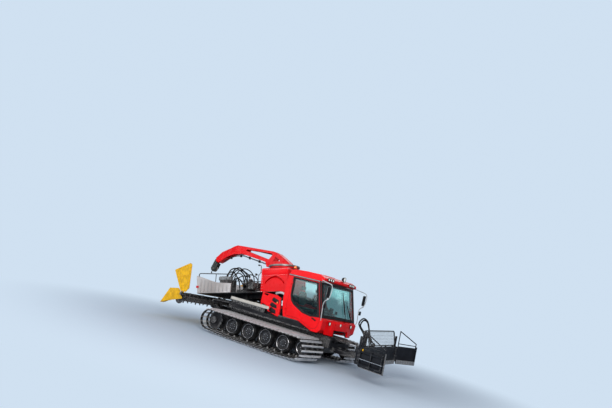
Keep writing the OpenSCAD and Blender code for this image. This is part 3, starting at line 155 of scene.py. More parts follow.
def lay(flat, deep, axis):
    """Flat points and their depths as points in space: the plane is X and Z, X and Y, or Y and Z."""
    deep = np.broadcast_to(deep, flat.shape[:2])
    u, v = flat[..., 0], flat[..., 1]
    return np.stack({"y": (u, deep, v), "z": (u, v, deep), "x": (deep, u, v)}[axis], -1)


def frames(path, closed=False):
    """Unit tangent, normal and binormal along a path. The normal is the path's flattest direction made
    square to the tangent, so the frame doesn't twist on a plane curve."""
    if closed:
        tangent = unit(np.roll(path, -1, 0) - np.roll(path, 1, 0))
    else:
        tangent = unit(np.gradient(path, axis=0))
    flat = np.linalg.svd(path - path.mean(0))[2][-1]
    normal = unit(flat - tangent * (tangent @ flat)[:, None])
    return tangent, normal, np.cross(tangent, normal)


class Shape:
    """One piece's vertices and faces, gathered from grids of points."""

    def __init__(self, place=None):
        self.points, self.faces, self.count = [], [], 0
        self.place = place

    def grid(self, g, around=False, along=False, caps=False):
        """A sheet of quads over a grid, closed round its columns or along its rows, with end faces."""
        g = np.asarray(g, float)
        rows, columns = g.shape[:2]
        index = np.arange(rows * columns).reshape(rows, columns) + self.count
        whole = np.vstack([index, index[:1]]) if along else index
        whole = np.hstack([whole, whole[:, :1]]) if around else whole
        quads = np.stack([whole[:-1, :-1], whole[1:, :-1], whole[1:, 1:], whole[:-1, 1:]], -1)
        self.faces += quads.reshape(-1, 4).tolist()
        if caps:
            self.faces += [index[0][::-1].tolist(), index[-1].tolist()]
        points = g.reshape(-1, 3)
        self.points.append(self.place(points) if self.place else points)
        self.count += rows * columns
        return self

    def grids(self, many, around=False, caps=False):
        """Many like sheets at once, from an array of grids."""
        for g in many:
            self.grid(g, around=around, caps=caps)
        return self

    def tube(self, path, radius, sides=12, closed=False):
        """Round bar: the circle cos(a) N + sin(a) B along the path, with one radius or one a point."""
        path = np.asarray(path, float)
        _, n, b = frames(path, closed)
        a = round_angles(sides)[None, :, None]
        r = np.broadcast_to(np.asarray(radius, float), (len(path),))[:, None, None]
        g = path[:, None] + r * (np.cos(a) * n[:, None] + np.sin(a) * b[:, None])
        return self.grid(g, around=True, along=closed, caps=not closed)

    def slab(self, outline, y0, y1, edge=0.004, corner=0.0, axis="y", steps=3):
        """Plate with rounded edges: the outline moved inwards by edge (1 - sin a) while the depth runs by
        edge (1 - cos a), so that both rims are quarter rounds."""
        o = np.asarray(outline, float)
        if corner:
            o = fillet(o, corner, 5, closed=True)
        a = np.linspace(0, math.pi / 2, steps)
        inset = np.concatenate([edge * (1 - np.sin(a)), edge * (1 - np.cos(a))])
        depth = np.concatenate([y0 + edge * (1 - np.cos(a)), y1 - edge * (1 - np.sin(a))])
        flat = o[None] + inset[:, None, None] * inward(o)[None]
        return self.grid(lay(flat, depth[:, None], axis), around=True, caps=True)

    def ring(self, outer, inner, y0, y1, axis="y"):
        """Flat frame between two outlines of equal length: both rims at both depths, joined in a loop."""
        flat = np.stack([outer, outer, inner, inner])
        deep = np.array([y0, y1, y1, y0])[:, None]
        return self.grid(lay(flat, deep, axis), around=True, along=True)

    def case(self, low, high, edge=0.006, corner=0.0, axis="z"):
        """Rounded box between two corners."""
        keep = {"z": (0, 1, 2), "y": (0, 2, 1), "x": (1, 2, 0)}[axis]
        a, b = np.minimum(low, high), np.maximum(low, high)
        u, v, w = keep
        outline = [(a[u], a[v]), (b[u], a[v]), (b[u], b[v]), (a[u], b[v])]
        return self.slab(outline, a[w], b[w], edge, corner, axis)

    def lathe(self, profile, centre=(0, 0, 0), axis="y", sides=32):
        """Body of revolution: profile points (radius, offset) carried round the centre's axis."""
        p = np.asarray(profile, float)
        a = round_angles(sides)
        c, s = np.cos(a)[None] * p[:, :1], np.sin(a)[None] * p[:, :1]
        h = np.broadcast_to(p[:, 1:2], c.shape)
        order = {"y": (c, h, s), "x": (h, c, s), "z": (c, s, h)}[axis]
        return self.grid(np.stack(order, -1) + np.asarray(centre, float), around=True)

    def bolts(self, centres, axis, radius=0.012, height=0.009):
        """Hexagon heads at many places at once, each a six sided prism standing along its axis."""
        centres = np.asarray(centres, float).reshape(-1, 3)
        n = unit(np.asarray(axis, float))
        u = unit(np.cross(n, [0.31, 0.57, 0.76]))
        v = np.cross(n, u)
        a = round_angles(6)[:, None]
        ring = np.cos(a) * u + np.sin(a) * v
        rise, spread = np.array([(0, 1.0), (0.8, 1.0), (1.0, 0.82)]).T[:, :, None, None]
        head = rise * height * n + spread * radius * ring
        return self.grids(centres[:, None, None] + head, around=True, caps=True)

    def mirrored(self):
        """The same shape on the other side too."""
        points = np.vstack(self.points)
        faces = [[i + self.count for i in face[::-1]] for face in self.faces]
        self.points = [points, points * [1, -1, 1]]
        self.faces += faces
        self.count *= 2
        return self


def sharpen(bm, degrees):
    """Smooth shading that stops at edges sharper than the angle."""
    limit = math.radians(degrees)
    for face in bm.faces:
        face.smooth = True
    for edge in bm.edges:
        edge.smooth = len(edge.link_faces) == 2 and edge.calc_face_angle(0) < limit


def piece(name, shape, paint, body, degrees=38):
    """A new object from a gathered shape: merged, its normals turned outwards, riding on its body."""
    points = np.vstack(shape.points) + [SHIFT, 0, 0]
    mesh = bpy.data.meshes.new(name)
    mesh.from_pydata(points.tolist(), [], shape.faces)
    bm = bmesh.new()
    bm.from_mesh(mesh)
    bmesh.ops.remove_doubles(bm, verts=bm.verts, dist=1e-6)
    bmesh.ops.recalc_face_normals(bm, faces=bm.faces)
    sharpen(bm, degrees)
    bm.to_mesh(mesh)
    bm.free()
    return stand(name, mesh, paint, body)


def drawn(name, paint, body="chassis", degrees=38, place=None, both=False, stands_for=()):
    """Makes a piece of what a function draws, on both sides if asked. It may stand for CAD nodes."""

    def make(draw):
        shape = Shape(place)
        draw(shape)
        made = piece(name, shape.mirrored() if both else shape, paint, body, degrees)
        if stands_for:
            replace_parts(made, *stands_for)
        return made

    return make


def stand(name, mesh, paint, body, bevel=0.0):
    """Puts a finished mesh into the scene with its paint, its edge rounding and its body."""
    mesh.materials.clear()
    mesh.materials.append(paint.material)
    made = bpy.data.objects.new(name, mesh)
    bpy.context.scene.collection.objects.link(made)
    if bevel:
        rim = made.modifiers.new("rim", "BEVEL")
        rim.width = bevel
        rim.segments = 2
        rim.limit_method = "ANGLE"
        rim.angle_limit = math.radians(40)
        rim.harden_normals = True
    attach(made, body)
    return made


def round_off(node, paint, bevel):
    """A merged copy of a CAD node with rounded edges, which stands for the node."""
    source = frame["nodes"][node]
    mesh = source.data.copy()
    bm = bmesh.new()
    bm.from_mesh(mesh)
    bmesh.ops.remove_doubles(bm, verts=bm.verts, dist=2e-5)
    bmesh.ops.dissolve_limit(bm, angle_limit=math.radians(0.6), verts=bm.verts, edges=bm.edges)
    sharpen(bm, 38)
    bm.to_mesh(mesh)
    bm.free()
    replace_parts(stand(node + "_finished", mesh, paint, source["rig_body"], bevel), node)


# Finishes


class Wire:
    """A shader socket on which Python arithmetic adds Math nodes."""

    def __init__(self, paint, socket):
        self.paint, self.socket = paint, socket

    def math(self, operation, a, b):
        return self.paint.node("ShaderNodeMath", {"operation": operation}, {0: a, 1: b})

    def __add__(self, other):
        return self.math("ADD", self, other)

    def __mul__(self, other):
        return self.math("MULTIPLY", self, other)

    def __sub__(self, other):
        return self.math("SUBTRACT", self, other)

    def __rsub__(self, other):
        return self.math("SUBTRACT", other, self)

    __radd__ = __add__
    __rmul__ = __mul__

    def step(self, low, high, a=0.0, b=1.0):
        """Runs smoothly from a to b while this value runs from low to high."""
        settings = {"interpolation_type": "SMOOTHSTEP"}
        return self.paint.node("ShaderNodeMapRange", settings, {0: self, 1: low, 2: high, 3: a, 4: b})


class Paint:
    """One finish: a material with its Principled shader, and a short way to add nodes to it."""

    def __init__(self, name, slot, constants=None):
        self.material = bpy.data.materials.new(name)
        self.material.use_nodes = True
        self.tree = self.material.node_tree
        self.slot = slot
        self.shader = self.tree.nodes["Principled BSDF"]
        self.place = self.node("ShaderNodeTexCoord", out="Object")
        for socket, value in (constants or {}).items():
            self.feed(self.shader.inputs[socket], value)

    def feed(self, socket, value):
        if isinstance(value, Wire):
            self.tree.links.new(value.socket, socket)
        else:
            socket.default_value = value

    def node(self, kind, settings=None, inputs=None, out=0):
        """Any node: its settings first, then the values or wires of its sockets."""
        made = self.tree.nodes.new(kind)
        for key, value in (settings or {}).items():
            setattr(made, key, value)
        for key, value in (inputs or {}).items():
            self.feed(made.inputs[key], value)
        return Wire(self, made.outputs[out])

    def noise(self, scale, detail=3.0, stretch=None, rough=0.55):
        """Noise over the object, drawn out along an axis by a stretch below one."""
        place = self.place
        if stretch:
            place = self.node("ShaderNodeMapping", None, {"Vector": place, "Scale": stretch})
        inputs = {"Vector": place, "Scale": scale, "Detail": detail, "Roughness": rough}
        return self.node("ShaderNodeTexNoise", None, inputs)

    def wave(self, direction, scale, distortion, place=None):
        """Sine bands over the object along one direction."""
        inputs = {"Vector": place or self.place, "Scale": scale, "Distortion": distortion}
        return self.node("ShaderNodeTexWave", {"bands_direction": direction}, inputs)

    def mix(self, factor, a, b):
        """Colour a where the factor is 0 and b where it is 1."""
        return self.node("ShaderNodeMix", {"data_type": "RGBA"}, {0: factor, 6: a, 7: b}, 2)

    def upward(self):
        """How far the surface faces up, from 0 to 1."""
        normal = self.node("ShaderNodeNewGeometry", out="Normal")
        return self.node("ShaderNodeSeparateXYZ", None, {0: normal}, "Z").step(0.35, 0.95)

    def edges(self, low=0.515, high=0.56):
        """Convex edges, where handling wears a finish."""
        return self.node("ShaderNodeNewGeometry", out="Pointiness").step(low, high)

    def bump(self, height, strength, distance=0.002, below=None):
        inputs = {"Height": height, "Strength": strength, "Distance": distance}
        if below:
            inputs["Normal"] = below
        return self.node("ShaderNodeBump", None, inputs)

    def finish(self, **inputs):
        """Feeds the shader's varying sockets by name, with spaces written as underscores."""
        for key, value in inputs.items():
            self.feed(self.shader.inputs[key.replace("_", " ")], value)
        return self


def grey(value):
    return (value, value, value, 1)


def shade(colour, factor):
    """A colour made darker or lighter, up to white."""
    return tuple(min(1, c * factor) for c in colour[:3]) + (1,)


def lacquer(name, slot, colour, deep, dust=0.08):
    """Sprayed lacquer: two tones by a broad noise, pale dust on top and in streaks, worn rims, peel."""
    p = Paint(name, slot, {"Coat Weight": 0.05, "Coat Roughness": 0.12, "Specular IOR Level": 0.12})
    tone = p.mix(p.noise(1.7, 4).step(0.3, 0.72), colour, deep)
    streak = p.noise(5, 5, (1, 1, 0.22)).step(0.5, 0.78)
    dusty = (p.upward() * 0.55 + 0.18) * streak * dust
    worn = p.edges(0.58, 0.68) * p.noise(22, 3).step(0.45, 0.6) * 0.3
    tone = p.mix(dusty, tone, (0.72, 0.68, 0.66, 1))
    tone = p.mix(worn, tone, (0.30, 0.10, 0.09, 1))
    peel = p.noise(260, 2)
    return p.finish(
        Base_Color=tone,
        Roughness=p.noise(9, 4).step(0.25, 0.75, 0.23, 0.43) + dusty * 0.4,
        Normal=p.bump(peel, 0.06, 0.0006, p.bump(p.noise(2.2, 2), 0.05, 0.01)),
    )


def powder(name, slot, colour, pale, rough=0.5, dust=0.5, grain=420.0, scuff=0.5):
    """Powder coat: fine grain, dust in patches and on top faces, rims rubbed down to bare metal."""
    p = Paint(name, slot, {"Specular IOR Level": 0.12})
    patch = p.noise(3.1, 6, rough=0.62).step(0.42, 0.74)
    dusty = (p.upward() * 0.5 + 0.25) * patch * dust
    worn = p.edges() * p.noise(30, 4).step(0.42, 0.6) * scuff
    tone = p.mix(p.noise(7, 4).step(0.3, 0.7), colour, shade(colour, 1.5))
    tone = p.mix(dusty, tone, pale)
    tone = p.mix(worn, tone, (0.36, 0.35, 0.34, 1))
    return p.finish(
        Base_Color=tone,
        Metallic=worn * 0.6,
        Roughness=p.noise(12, 3).step(0.3, 0.7, rough - 0.08, rough + 0.12),
        Normal=p.bump(p.noise(grain, 2), 0.22, 0.0008),
    )


def rubber(name, slot, colour, pale, dust):
    """Rubber: matt, finely pitted, with pale dust rubbed into its patches."""
    p = Paint(name, slot, {"Specular IOR Level": 0.15})
    dusty = p.noise(6.5, 6, rough=0.65).step(0.45, 0.7) * dust
    tone = p.mix(dusty, colour, pale)
    rough = p.noise(20, 3).step(0.3, 0.7, 0.62, 0.85)
    return p.finish(Base_Color=tone, Roughness=rough, Normal=p.bump(p.noise(180, 4), 0.35, 0.0015))


def bare(name, slot, colour, dark, rough, draw, metal=1.0, stain=0.4):
    """Bare metal: drawn lines along the stretched axis, stains in patches, brighter rims."""
    p = Paint(name, slot)
    line = p.noise(60, 4, draw)
    patch = p.noise(4.5, 6, rough=0.65).step(0.44, 0.72) * stain
    tone = p.mix(line.step(0.25, 0.8), shade(colour, 0.8), colour)
    tone = p.mix(patch, tone, dark)
    tone = p.mix(p.edges(0.52, 0.58) * 0.5, tone, shade(colour, 1.3))
    return p.finish(
        Base_Color=tone,
        Metallic=metal - patch * 0.5,
        Roughness=line.step(0.2, 0.8, rough - 0.08, rough + 0.14) + patch * 0.25,
        Normal=p.bump(line, 0.12, 0.0008),
    )


def clear(name, slot, tint):
    """Tinted pane: clear glass with faint wiped film over it."""
    p = Paint(name, slot, {"Transmission Weight": 1.0, "IOR": 1.45})
    film = p.noise(2.6, 5, (1, 1, 0.4)).step(0.42, 0.75)
    tone = p.mix(film * 0.12, tint, (0.82, 0.88, 0.88, 1))
    return p.finish(Base_Color=tone, Roughness=film * 0.07 + 0.03, Normal=p.bump(p.noise(3, 2), 0.02, 0.004))


def lens(name, slot, colour, glow, ribs=90.0):
    """Moulded lens: fine ribs across it, and a little light of its own so that its colour reads by day."""
    p = Paint(name, slot, {"Coat Weight": 0.8, "Coat Roughness": 0.05, "Emission Strength": glow})
    rib = p.wave("Y", ribs, 0.4)
    tone = p.mix(rib.step(0.2, 0.9), shade(colour, 0.8), colour)
    rough = p.noise(15, 2).step(0.3, 0.7, 0.1, 0.22)
    return p.finish(Base_Color=tone, Emission_Color=tone, Roughness=rough, Normal=p.bump(rib, 0.3, 0.001))


def cloth(name, slot, colour, thread):
    """Seat cloth: two crossed waves as the weave, mottled, with a soft nap."""
    p = Paint(name, slot, {"Sheen Weight": 0.3})
    both = p.wave("X", 160, 1.0) * p.wave("Z", 160, 1.0)
    tone = p.mix(both.step(0.1, 0.8), colour, thread)
    tone = p.mix(p.noise(8, 4).step(0.4, 0.7) * 0.4, tone, colour)
    rough = p.noise(30, 3).step(0.3, 0.7, 0.78, 0.95)
    return p.finish(Base_Color=tone, Roughness=rough, Normal=p.bump(both, 0.5, 0.001))


def treaded(name, slot, colour, dark):
    """Rolled aluminium tread: raised lozenges from two crossed waves, with dirt between them."""
    p = Paint(name, slot)
    turn = lambda a: p.node("ShaderNodeMapping", None, {"Vector": p.place, "Rotation": (0, 0, a)})
    lozenge = (p.wave("X", 9, 0, turn(0.9)) * p.wave("X", 9, 0, turn(-0.9))).step(0.35, 0.6)
    patch = p.noise(5, 6, rough=0.65).step(0.42, 0.7)
    tone = p.mix(lozenge * 0.8, dark, colour)
    tone = p.mix(patch * 0.5, tone, dark)
    return p.finish(
        Base_Color=tone,
        Metallic=lozenge * 0.5 + 0.3,
        Roughness=p.noise(14, 3).step(0.3, 0.7, 0.38, 0.6),
        Normal=p.bump(lozenge, 0.6, 0.002),
    )


DUST = (0.5, 0.49, 0.47, 1)
red_lacquer = lacquer("red_lacquer", "red_paint", (0.93, 0.004, 0.008, 1), (0.82, 0.003, 0.006, 1))
boom_lacquer = lacquer("boom_lacquer", "red_paint", (0.9, 0.005, 0.009, 1), (0.76, 0.004, 0.007, 1), 0.22)
black_powder = powder("black_powder", "black_frame", (0.008, 0.008, 0.01, 1), DUST, dust=0.1)
black_trim = powder("black_trim", "dark_plastic", (0.006, 0.006, 0.007, 1), DUST, 0.36, 0.05, scuff=0.05)
blade_powder = powder(
    "blade_powder", "black_frame", (0.009, 0.01, 0.013, 1), (0.26, 0.26, 0.28, 1), 0.42, 0.06, scuff=0.2)
dark_casting = powder("dark_casting", "dark_parts", (0.02, 0.02, 0.023, 1), DUST, 0.55, 0.2, 160.0)
head_grey = powder("head_grey", "dark_parts", (0.022, 0.026, 0.024, 1), DUST, 0.45, 0.1, scuff=0.15)
gear_grey = powder("gear_grey", "dark_parts", (0.26, 0.28, 0.3, 1), DUST, 0.45, 0.12)
belt_rubber = rubber("belt_rubber", "rubber_belt", (0.014, 0.013, 0.013, 1), (0.28, 0.27, 0.26, 1), 0.25)
tyre_rubber = rubber("tyre_rubber", "tyre_rubber", (0.008, 0.008, 0.009, 1), (0.26, 0.25, 0.24, 1), 0.14)
hose_rubber = rubber("hose_rubber", "rubber_belt", (0.012, 0.012, 0.013, 1), grey(0.2), 0.2)
side_aluminium = bare(
    "side_aluminium", "aluminium", (0.56, 0.53, 0.52, 1), (0.34, 0.31, 0.3, 1), 0.42, (0.12, 1, 1), 0.55, 0.6)
edge_aluminium = bare(
    "edge_aluminium", "aluminium", (0.52, 0.48, 0.42, 1), (0.32, 0.29, 0.25, 1), 0.45, (0.1, 1, 1), 0.35)
tread_aluminium = treaded("tread_aluminium", "aluminium", grey(0.42), grey(0.1))
bar_aluminium = bare(
    "bar_aluminium", "steel", (0.78, 0.78, 0.8, 1), (0.2, 0.19, 0.18, 1), 0.42, (1, 0.08, 1), 0.35, 0.6)
bright_steel = bare("bright_steel", "steel", (0.66, 0.66, 0.68, 1), (0.34, 0.32, 0.3, 1), 0.25, (1, 1, 0.2))
worn_steel = bare(
    "worn_steel", "steel", (0.3, 0.29, 0.28, 1), (0.14, 0.085, 0.055, 1), 0.42, (1, 0.15, 1), 0.85, 0.7)
rim_steel = bare(
    "rim_steel", "dark_parts", (0.05, 0.05, 0.055, 1), (0.02, 0.018, 0.016, 1), 0.45, (1, 1, 1), 0.4, 0.5)
tube_grey = powder("tube_grey", "aluminium", (0.4, 0.41, 0.42, 1), grey(0.7), 0.4, 0.2, scuff=0.2)
ochre = powder("ochre", "yellow_finish", (0.62, 0.33, 0.004, 1), (0.62, 0.5, 0.26, 1), 0.5, 0.07, scuff=0.08)
pane = clear("pane", "tinted_glass", (0.46, 0.8, 0.74, 1))
# Windscreen: a paler copy of the tinted glass, painted light where the windscreen looks bright.
front_pane_painted_light = clear("front_pane_painted_light", "tinted_glass", (0.66, 0.9, 0.86, 1))
lamp_glass = lens("lamp_glass", "lamp_glass", (0.92, 0.92, 0.86, 1), 0.35, 60.0)
orange_lens = lens("orange_lens", "lamp_glass", (0.95, 0.2, 0.01, 1), 0.25)
red_lens = lens("red_lens", "lamp_glass", (0.62, 0.01, 0.02, 1), 0.2)
seat_cloth = cloth("seat_cloth", "seat_fabric", (0.014, 0.014, 0.016, 1), (0.045, 0.045, 0.05, 1))
# Cab lining: dark trim of the cab's inside, made near-black so that it also stands for the shade inside the
# cab (painted shade); also on the dash, console and seat columns.
cab_lining_and_painted_shade = powder("cab_lining_and_painted_shade", "dark_plastic", (0.012, 0.012, 0.013, 1), DUST, 0.7, 0.05, scuff=0.0)

# Nodes that keep their own shape under each finish, with the width of their rounded edges in millimetres.
FINISH = (
    (black_powder, {
        "chassis_frame": 6, "side_boxes": 6, "lift_frame": 5, "lift_barrels": 3, "blade_head": 4,
        "tiller_frame": 5, "tiller_barrels": 3, "tiller_housing": 3, "bed_frame": 4, "bed_barrel": 3}),
    (dark_casting, {"sprockets": 4, "engine_block": 20, "pitch_cylinder": 3, "hydraulic_gear": 8}),
    (tread_aluminium, {"deck": 4}),
    (edge_aluminium, {"deck_edges": 3}),
    (side_aluminium, {"bed_sides": 3}),
    (red_lacquer, {
        "side_grilles": 6, "cab_shell": 8, "nose_panel": 8, "door_right": 6, "door_left": 6,
        "winch_tower": 12, "cab_roof": 30}),
    (pane, {"door_right_glass": 0, "door_left_glass": 0}),
    (front_pane_painted_light, {"windscreen": 0}),
    (bright_steel, {"lift_rods": 2, "tiller_rods": 2, "bed_rod": 2}),
    (blade_powder, {"blade_center": 4, "wing_right": 3, "wing_left": 3}),
    (worn_steel, {"rotor_right": 2, "rotor_left": 2, "slew_ring": 6}),
    (ochre, {"comb_right": 3, "comb_left": 3, "side_finisher_right": 6, "side_finisher_left": 6}),
    (boom_lacquer, {"boom": 6}),
    (head_grey, {"boom_head": 4}),
)
for paint, bevels in FINISH:
    for node, bevel in bevels.items():
        round_off(node, paint, bevel / 1000)


# Running gear

TRACK_Y = 1.46
BELT_T = 0.02
BELTS = TRACK_Y + np.linspace(-0.605, 0.605, 5)
BAR_COUNT = 64
# What the belts run round, as X, Z and radius, and the wheels as X, Z, radius and radius of the rim.
GUIDES = np.array([[-1.44, 0.415, 0.33], [0.849, 0.415, 0.33], [1.66, 0.445, 0.312], [-2.15, 0.452, 0.315]])
WHEELS = [(-1.44 + 0.763 * k, 0.415, 0.3285, 0.235) for k in range(4)] + [(1.66, 0.445, 0.3105, 0.225)]


def track_path(count):
    """Evenly spaced points of the belt's inner face in X and Z, with the outward normal at each: arcs
    round the four guides joined by their outer tangents, resampled by length."""
    a, b = GUIDES, np.roll(GUIDES, -1, 0)
    d = b[:, :2] - a[:, :2]
    leave = np.arctan2(d[:, 1], d[:, 0]) - np.arccos((a[:, 2] - b[:, 2]) / np.linalg.norm(d, axis=1))
    arrive = np.roll(leave, 1)
    turn = (leave - arrive) % (2 * math.pi)
    angle = arrive[:, None] + turn[:, None] * np.linspace(0, 1, 60)
    normal = np.stack([np.cos(angle), np.sin(angle)], -1)
    loop = (a[:, None, :2] + a[:, None, 2:3] * normal).reshape(-1, 2)
    loop, normal = (np.vstack([v, v[:1]]) for v in (loop, normal.reshape(-1, 2)))
    length = lengths(loop)
    s = np.arange(count) * length[-1] / count
    pick = lambda v: np.stack([np.interp(s, length, v[:, 0]), np.interp(s, length, v[:, 1])], -1)
    return pick(loop), unit(pick(normal))


def on_track(p, n, slide, across, rise):
    """Like grids at each point of the track: slid along it, set across it and raised along its normal."""
    way = np.stack([n[:, 1], -n[:, 0]], -1)
    xz = p[:, None, None] + n[:, None, None] * rise[..., None] + way[:, None, None] * slide[..., None]
    return np.stack([xz[..., 0], np.broadcast_to(across, xz.shape[:3]), xz[..., 1]], -1)


@drawn("track_belts", belt_rubber, both=True, stands_for=("track_right", "track_left"))
def track_belts(shape):
    """Belts: a rounded rectangle carried round the track path, its corners lifted along the normal."""
    p, n = track_path(220)
    corners = [(-0.055, 0.001), (0.055, 0.001), (0.055, BELT_T), (-0.055, BELT_T)]
    section = fillet(corners, 0.006, 3, closed=True)[None]
    for y in BELTS:
        belt = on_track(p, n, np.zeros((1, 1)), y + section[..., 0], section[..., 1])
        shape.grid(belt[:, 0], around=True, along=True)


@drawn("track_cross_bars", bar_aluminium, degrees=30, both=True)
def cross_bars(shape):
    """Cross bars: a flanged blade section, wide at the belt and narrow at the tip, drawn across the track.
    The tip drops towards both ends, and the section stands on the belt along the path's normal."""
    half = np.array([
        (0.03, 0.0), (0.03, 0.009), (0.014, 0.013), (0.008, 0.04), (0.0055, 0.062), (0.003, 0.0645)])
    section = np.vstack([half, half[::-1] * [-1, 1]])[None]
    span = np.array([-0.655, -0.65, -0.6, -0.55, 0.55, 0.6, 0.65, 0.655])[:, None]
    tall = np.array([0.3, 0.34, 0.75, 1.0, 1.0, 0.75, 0.34, 0.3])[:, None]
    rise = BELT_T + 0.0005 + section[..., 1] * tall
    bars = on_track(*track_path(BAR_COUNT), section[..., 0], TRACK_Y + span, rise)
    shape.grids(bars, around=True, caps=True)


@drawn("track_bar_fittings", worn_steel, degrees=30, both=True)
def bar_fittings(shape):
    """Clamp plates inside the belts at every bar, and a pair of guide horns beside the wheels at every
    second: low pyramids that stand inwards from the path."""
    p, n = track_path(BAR_COUNT)
    plates = [(y, 0.045, (0.0, -0.005), (0.026, 0.024), 1) for y in BELTS]
    horns = [(TRACK_Y + side, 0.012, (-0.004, -0.062), (0.036, 0.014), 2) for side in (-0.15, 0.15)]
    for y, half, rise, reach, every in plates + horns:
        corners = np.array([(-1, y - half), (1, y - half), (1, y + half), (-1, y + half)])
        rows = np.stack([corners * [x, 1] for x in reach])
        rows[1, :, 1] = rows[1, :, 1] * 0.7 + y * 0.3
        lumps = on_track(p[::every], n[::every], rows[..., 0], rows[..., 1], np.array(rise)[:, None])
        shape.grids(lumps, around=True, caps=True)


@drawn("tyres", tyre_rubber, both=True, stands_for=("road_wheels",))
def tyres(shape):
    """Tyres: a bulged section of revolution, grooved once in each side wall, three times in the tread."""
    for x, z, r, rim in WHEELS:
        side = np.array([
            (rim - 0.012, 0.086), (rim + 0.004, 0.1), (rim + 0.02, 0.109), (rim + 0.034, 0.105),
            (rim + 0.04, 0.109), (r - 0.03, 0.11), (r - 0.014, 0.104), (r - 0.004, 0.09), (r, 0.072),
            (r - 0.006, 0.066), (r - 0.006, 0.058), (r, 0.052), (r, 0.012), (r - 0.006, 0.006),
        ])
        bore = [(rim - 0.012, -0.05), (rim - 0.012, 0.05)]
        shape.lathe(np.vstack([side, side[::-1] * [1, -1], bore, side[:1]]), (x, -TRACK_Y, z), sides=48)


@drawn("wheel_rims", rim_steel, both=True)
def rims(shape):
    """Pressed rims: a dished disc of revolution from the bead seat in to the hub cap, on both faces."""
    for x, z, r, rim in WHEELS:
        face = np.array([
            (rim - 0.004, 0.093), (rim - 0.012, 0.097), (rim - 0.022, 0.088), (rim - 0.03, 0.05),
            (rim - 0.052, 0.032), (0.135, 0.04), (0.118, 0.062), (0.078, 0.066), (0.07, 0.086),
            (0.052, 0.092), (0.02, 0.094), (0.0, 0.094),
        ])
        shape.lathe(np.vstack([face[::-1], face * [1, -1], face[-1:]]), (x, -TRACK_Y, z), sides=40)


@drawn("wheel_rings", bright_steel, both=True)
def wheel_rings(shape):
    """Worn bead rings: a bright round bar along the circle of each outer rim."""
    for x, z, r, rim in WHEELS:
        shape.tube(arc((x, -TRACK_Y - 0.104, z), rim, round_angles(48)), 0.0065, 6, closed=True)


@drawn("wheel_nuts", bright_steel, degrees=25, both=True)
def wheel_nuts(shape):
    """Eight wheel nuts on the disc's raised ring."""
    for x, z, r, rim in WHEELS:
        shape.bolts(arc((x, -TRACK_Y - 0.064, z), 0.098, round_angles(8)), (0, -1, 0), 0.012, 0.012)


# Cab

CAB_Y = 1.165
WALL = -CAB_Y
WINDOW = np.array([
    (0.44, 2.58), (0.48, 1.99), (0.55, 1.84), (0.68, 1.72), (1.07, 1.545), (1.39, 1.5), (1.662, 1.56),
    (1.382, 2.58)])
WINDOW_RIM = np.array([
    (0.375, 2.608), (0.425, 1.985), (0.5, 1.81), (0.645, 1.68), (1.055, 1.5), (1.4, 1.452), (1.765, 1.5),
    (1.438, 2.608)])
LINING_RIM = np.array([
    (0.372, 2.6), (0.375, 1.98), (0.38, 1.75), (0.43, 1.35), (0.97, 1.31), (1.54, 1.11), (1.74, 1.3),
    (1.43, 2.6)])
DOOR = np.array([
    (0.41, 1.277), (0.97, 1.277), (1.54, 1.075), (1.7, 1.12), (1.775, 1.24), (1.775, 1.5), (1.445, 2.62),
    (0.35, 2.62), (0.35, 1.7)])
SCREEN_RAKE = 16.39
SCREEN_FOOT = (1.8368, 0, 1.545)


def on_screen(p):
    """Points of the windscreen as (out, across, up) to the part's frame. The glass bulges by 0.07 - y^2 /
    17.04 from its chord, and the whole is tipped by the rake at the foot of the glass."""
    p = np.array(p, float)
    p[..., 0] += 0.07 - p[..., 1] ** 2 / 17.04
    return tipped(p, SCREEN_RAKE, SCREEN_FOOT)


@drawn("wall_linings", cab_lining_and_painted_shade, degrees=30)
def wall_linings(shape):
    """Dark linings on the cab's back wall round its window, under the roof, on the sides and floor; their
    near-black is partly painted shade of the cab's inside.
    """
    shape.ring(rectangle(-1.1, 1.1, 1.3, 2.62), rectangle(-0.985, 0.985, 1.9, 2.56), 0.202, 0.214, axis="x")
    shape.case((0.22, -1.09, 2.602), (1.36, 1.09, 2.622), 0.006)
    for s in (-1, 1):
        shape.case((0.215, s * 1.106, 1.3), (0.338, s * 1.114, 2.6), 0.002)
    shape.case((0.25, -1.06, 1.2656), (1.7, 1.06, 1.273), 0.002)


def door_lining(shape):
    """Dark panel on a door's inner face, partly painted shade of the cab's inside: a ring between the leaf's
    rim and the window.
    """
    shape.ring(LINING_RIM, WINDOW, WALL + 0.051, WALL + 0.062)


def window_frame(shape):
    """Black frame of a door's window: a flat ring between two outlines, and a seal set back in it."""
    shape.ring(WINDOW_RIM, WINDOW, WALL - 0.005, WALL + 0.001)
    shape.ring(WINDOW, WINDOW + 0.016 * inward(WINDOW), WALL - 0.002, WALL + 0.03)


def door_handle(shape):
    """Pull handle: a bent bar with round ends over a shallow dark dish, a slab with rounded rims."""
    dish = [(1.455, 1.425), (1.5, 1.447), (1.67, 1.385), (1.635, 1.352)]
    shape.slab(dish, WALL - 0.003, WALL + 0.002, 0.002, 0.02)
    bar = [(1.48, WALL, 1.425), (1.49, WALL - 0.04, 1.423), (1.63, WALL - 0.04, 1.375), (1.64, WALL, 1.372)]
    shape.tube(fillet(bar, 0.02), 0.011)


for side, place in (("right", None), ("left", lambda p: p * [1, -1, 1])):
    body = "door_" + side
    drawn("door_lining_" + side, cab_lining_and_painted_shade, body, 30, place)(door_lining)
    drawn("window_frame_" + side, black_trim, body, 30, place)(window_frame)
    drawn("door_handle_" + side, black_trim, body, place=place)(door_handle)


@drawn("door_seams", black_trim, degrees=30, both=True)
def door_seams(shape):
    """Dark running gap round each door: its outline carried as a thin flat ring in the gap."""
    shape.ring(DOOR - 0.001 * inward(DOOR), DOOR + 0.009 * inward(DOOR), WALL + 0.004, WALL + 0.012)


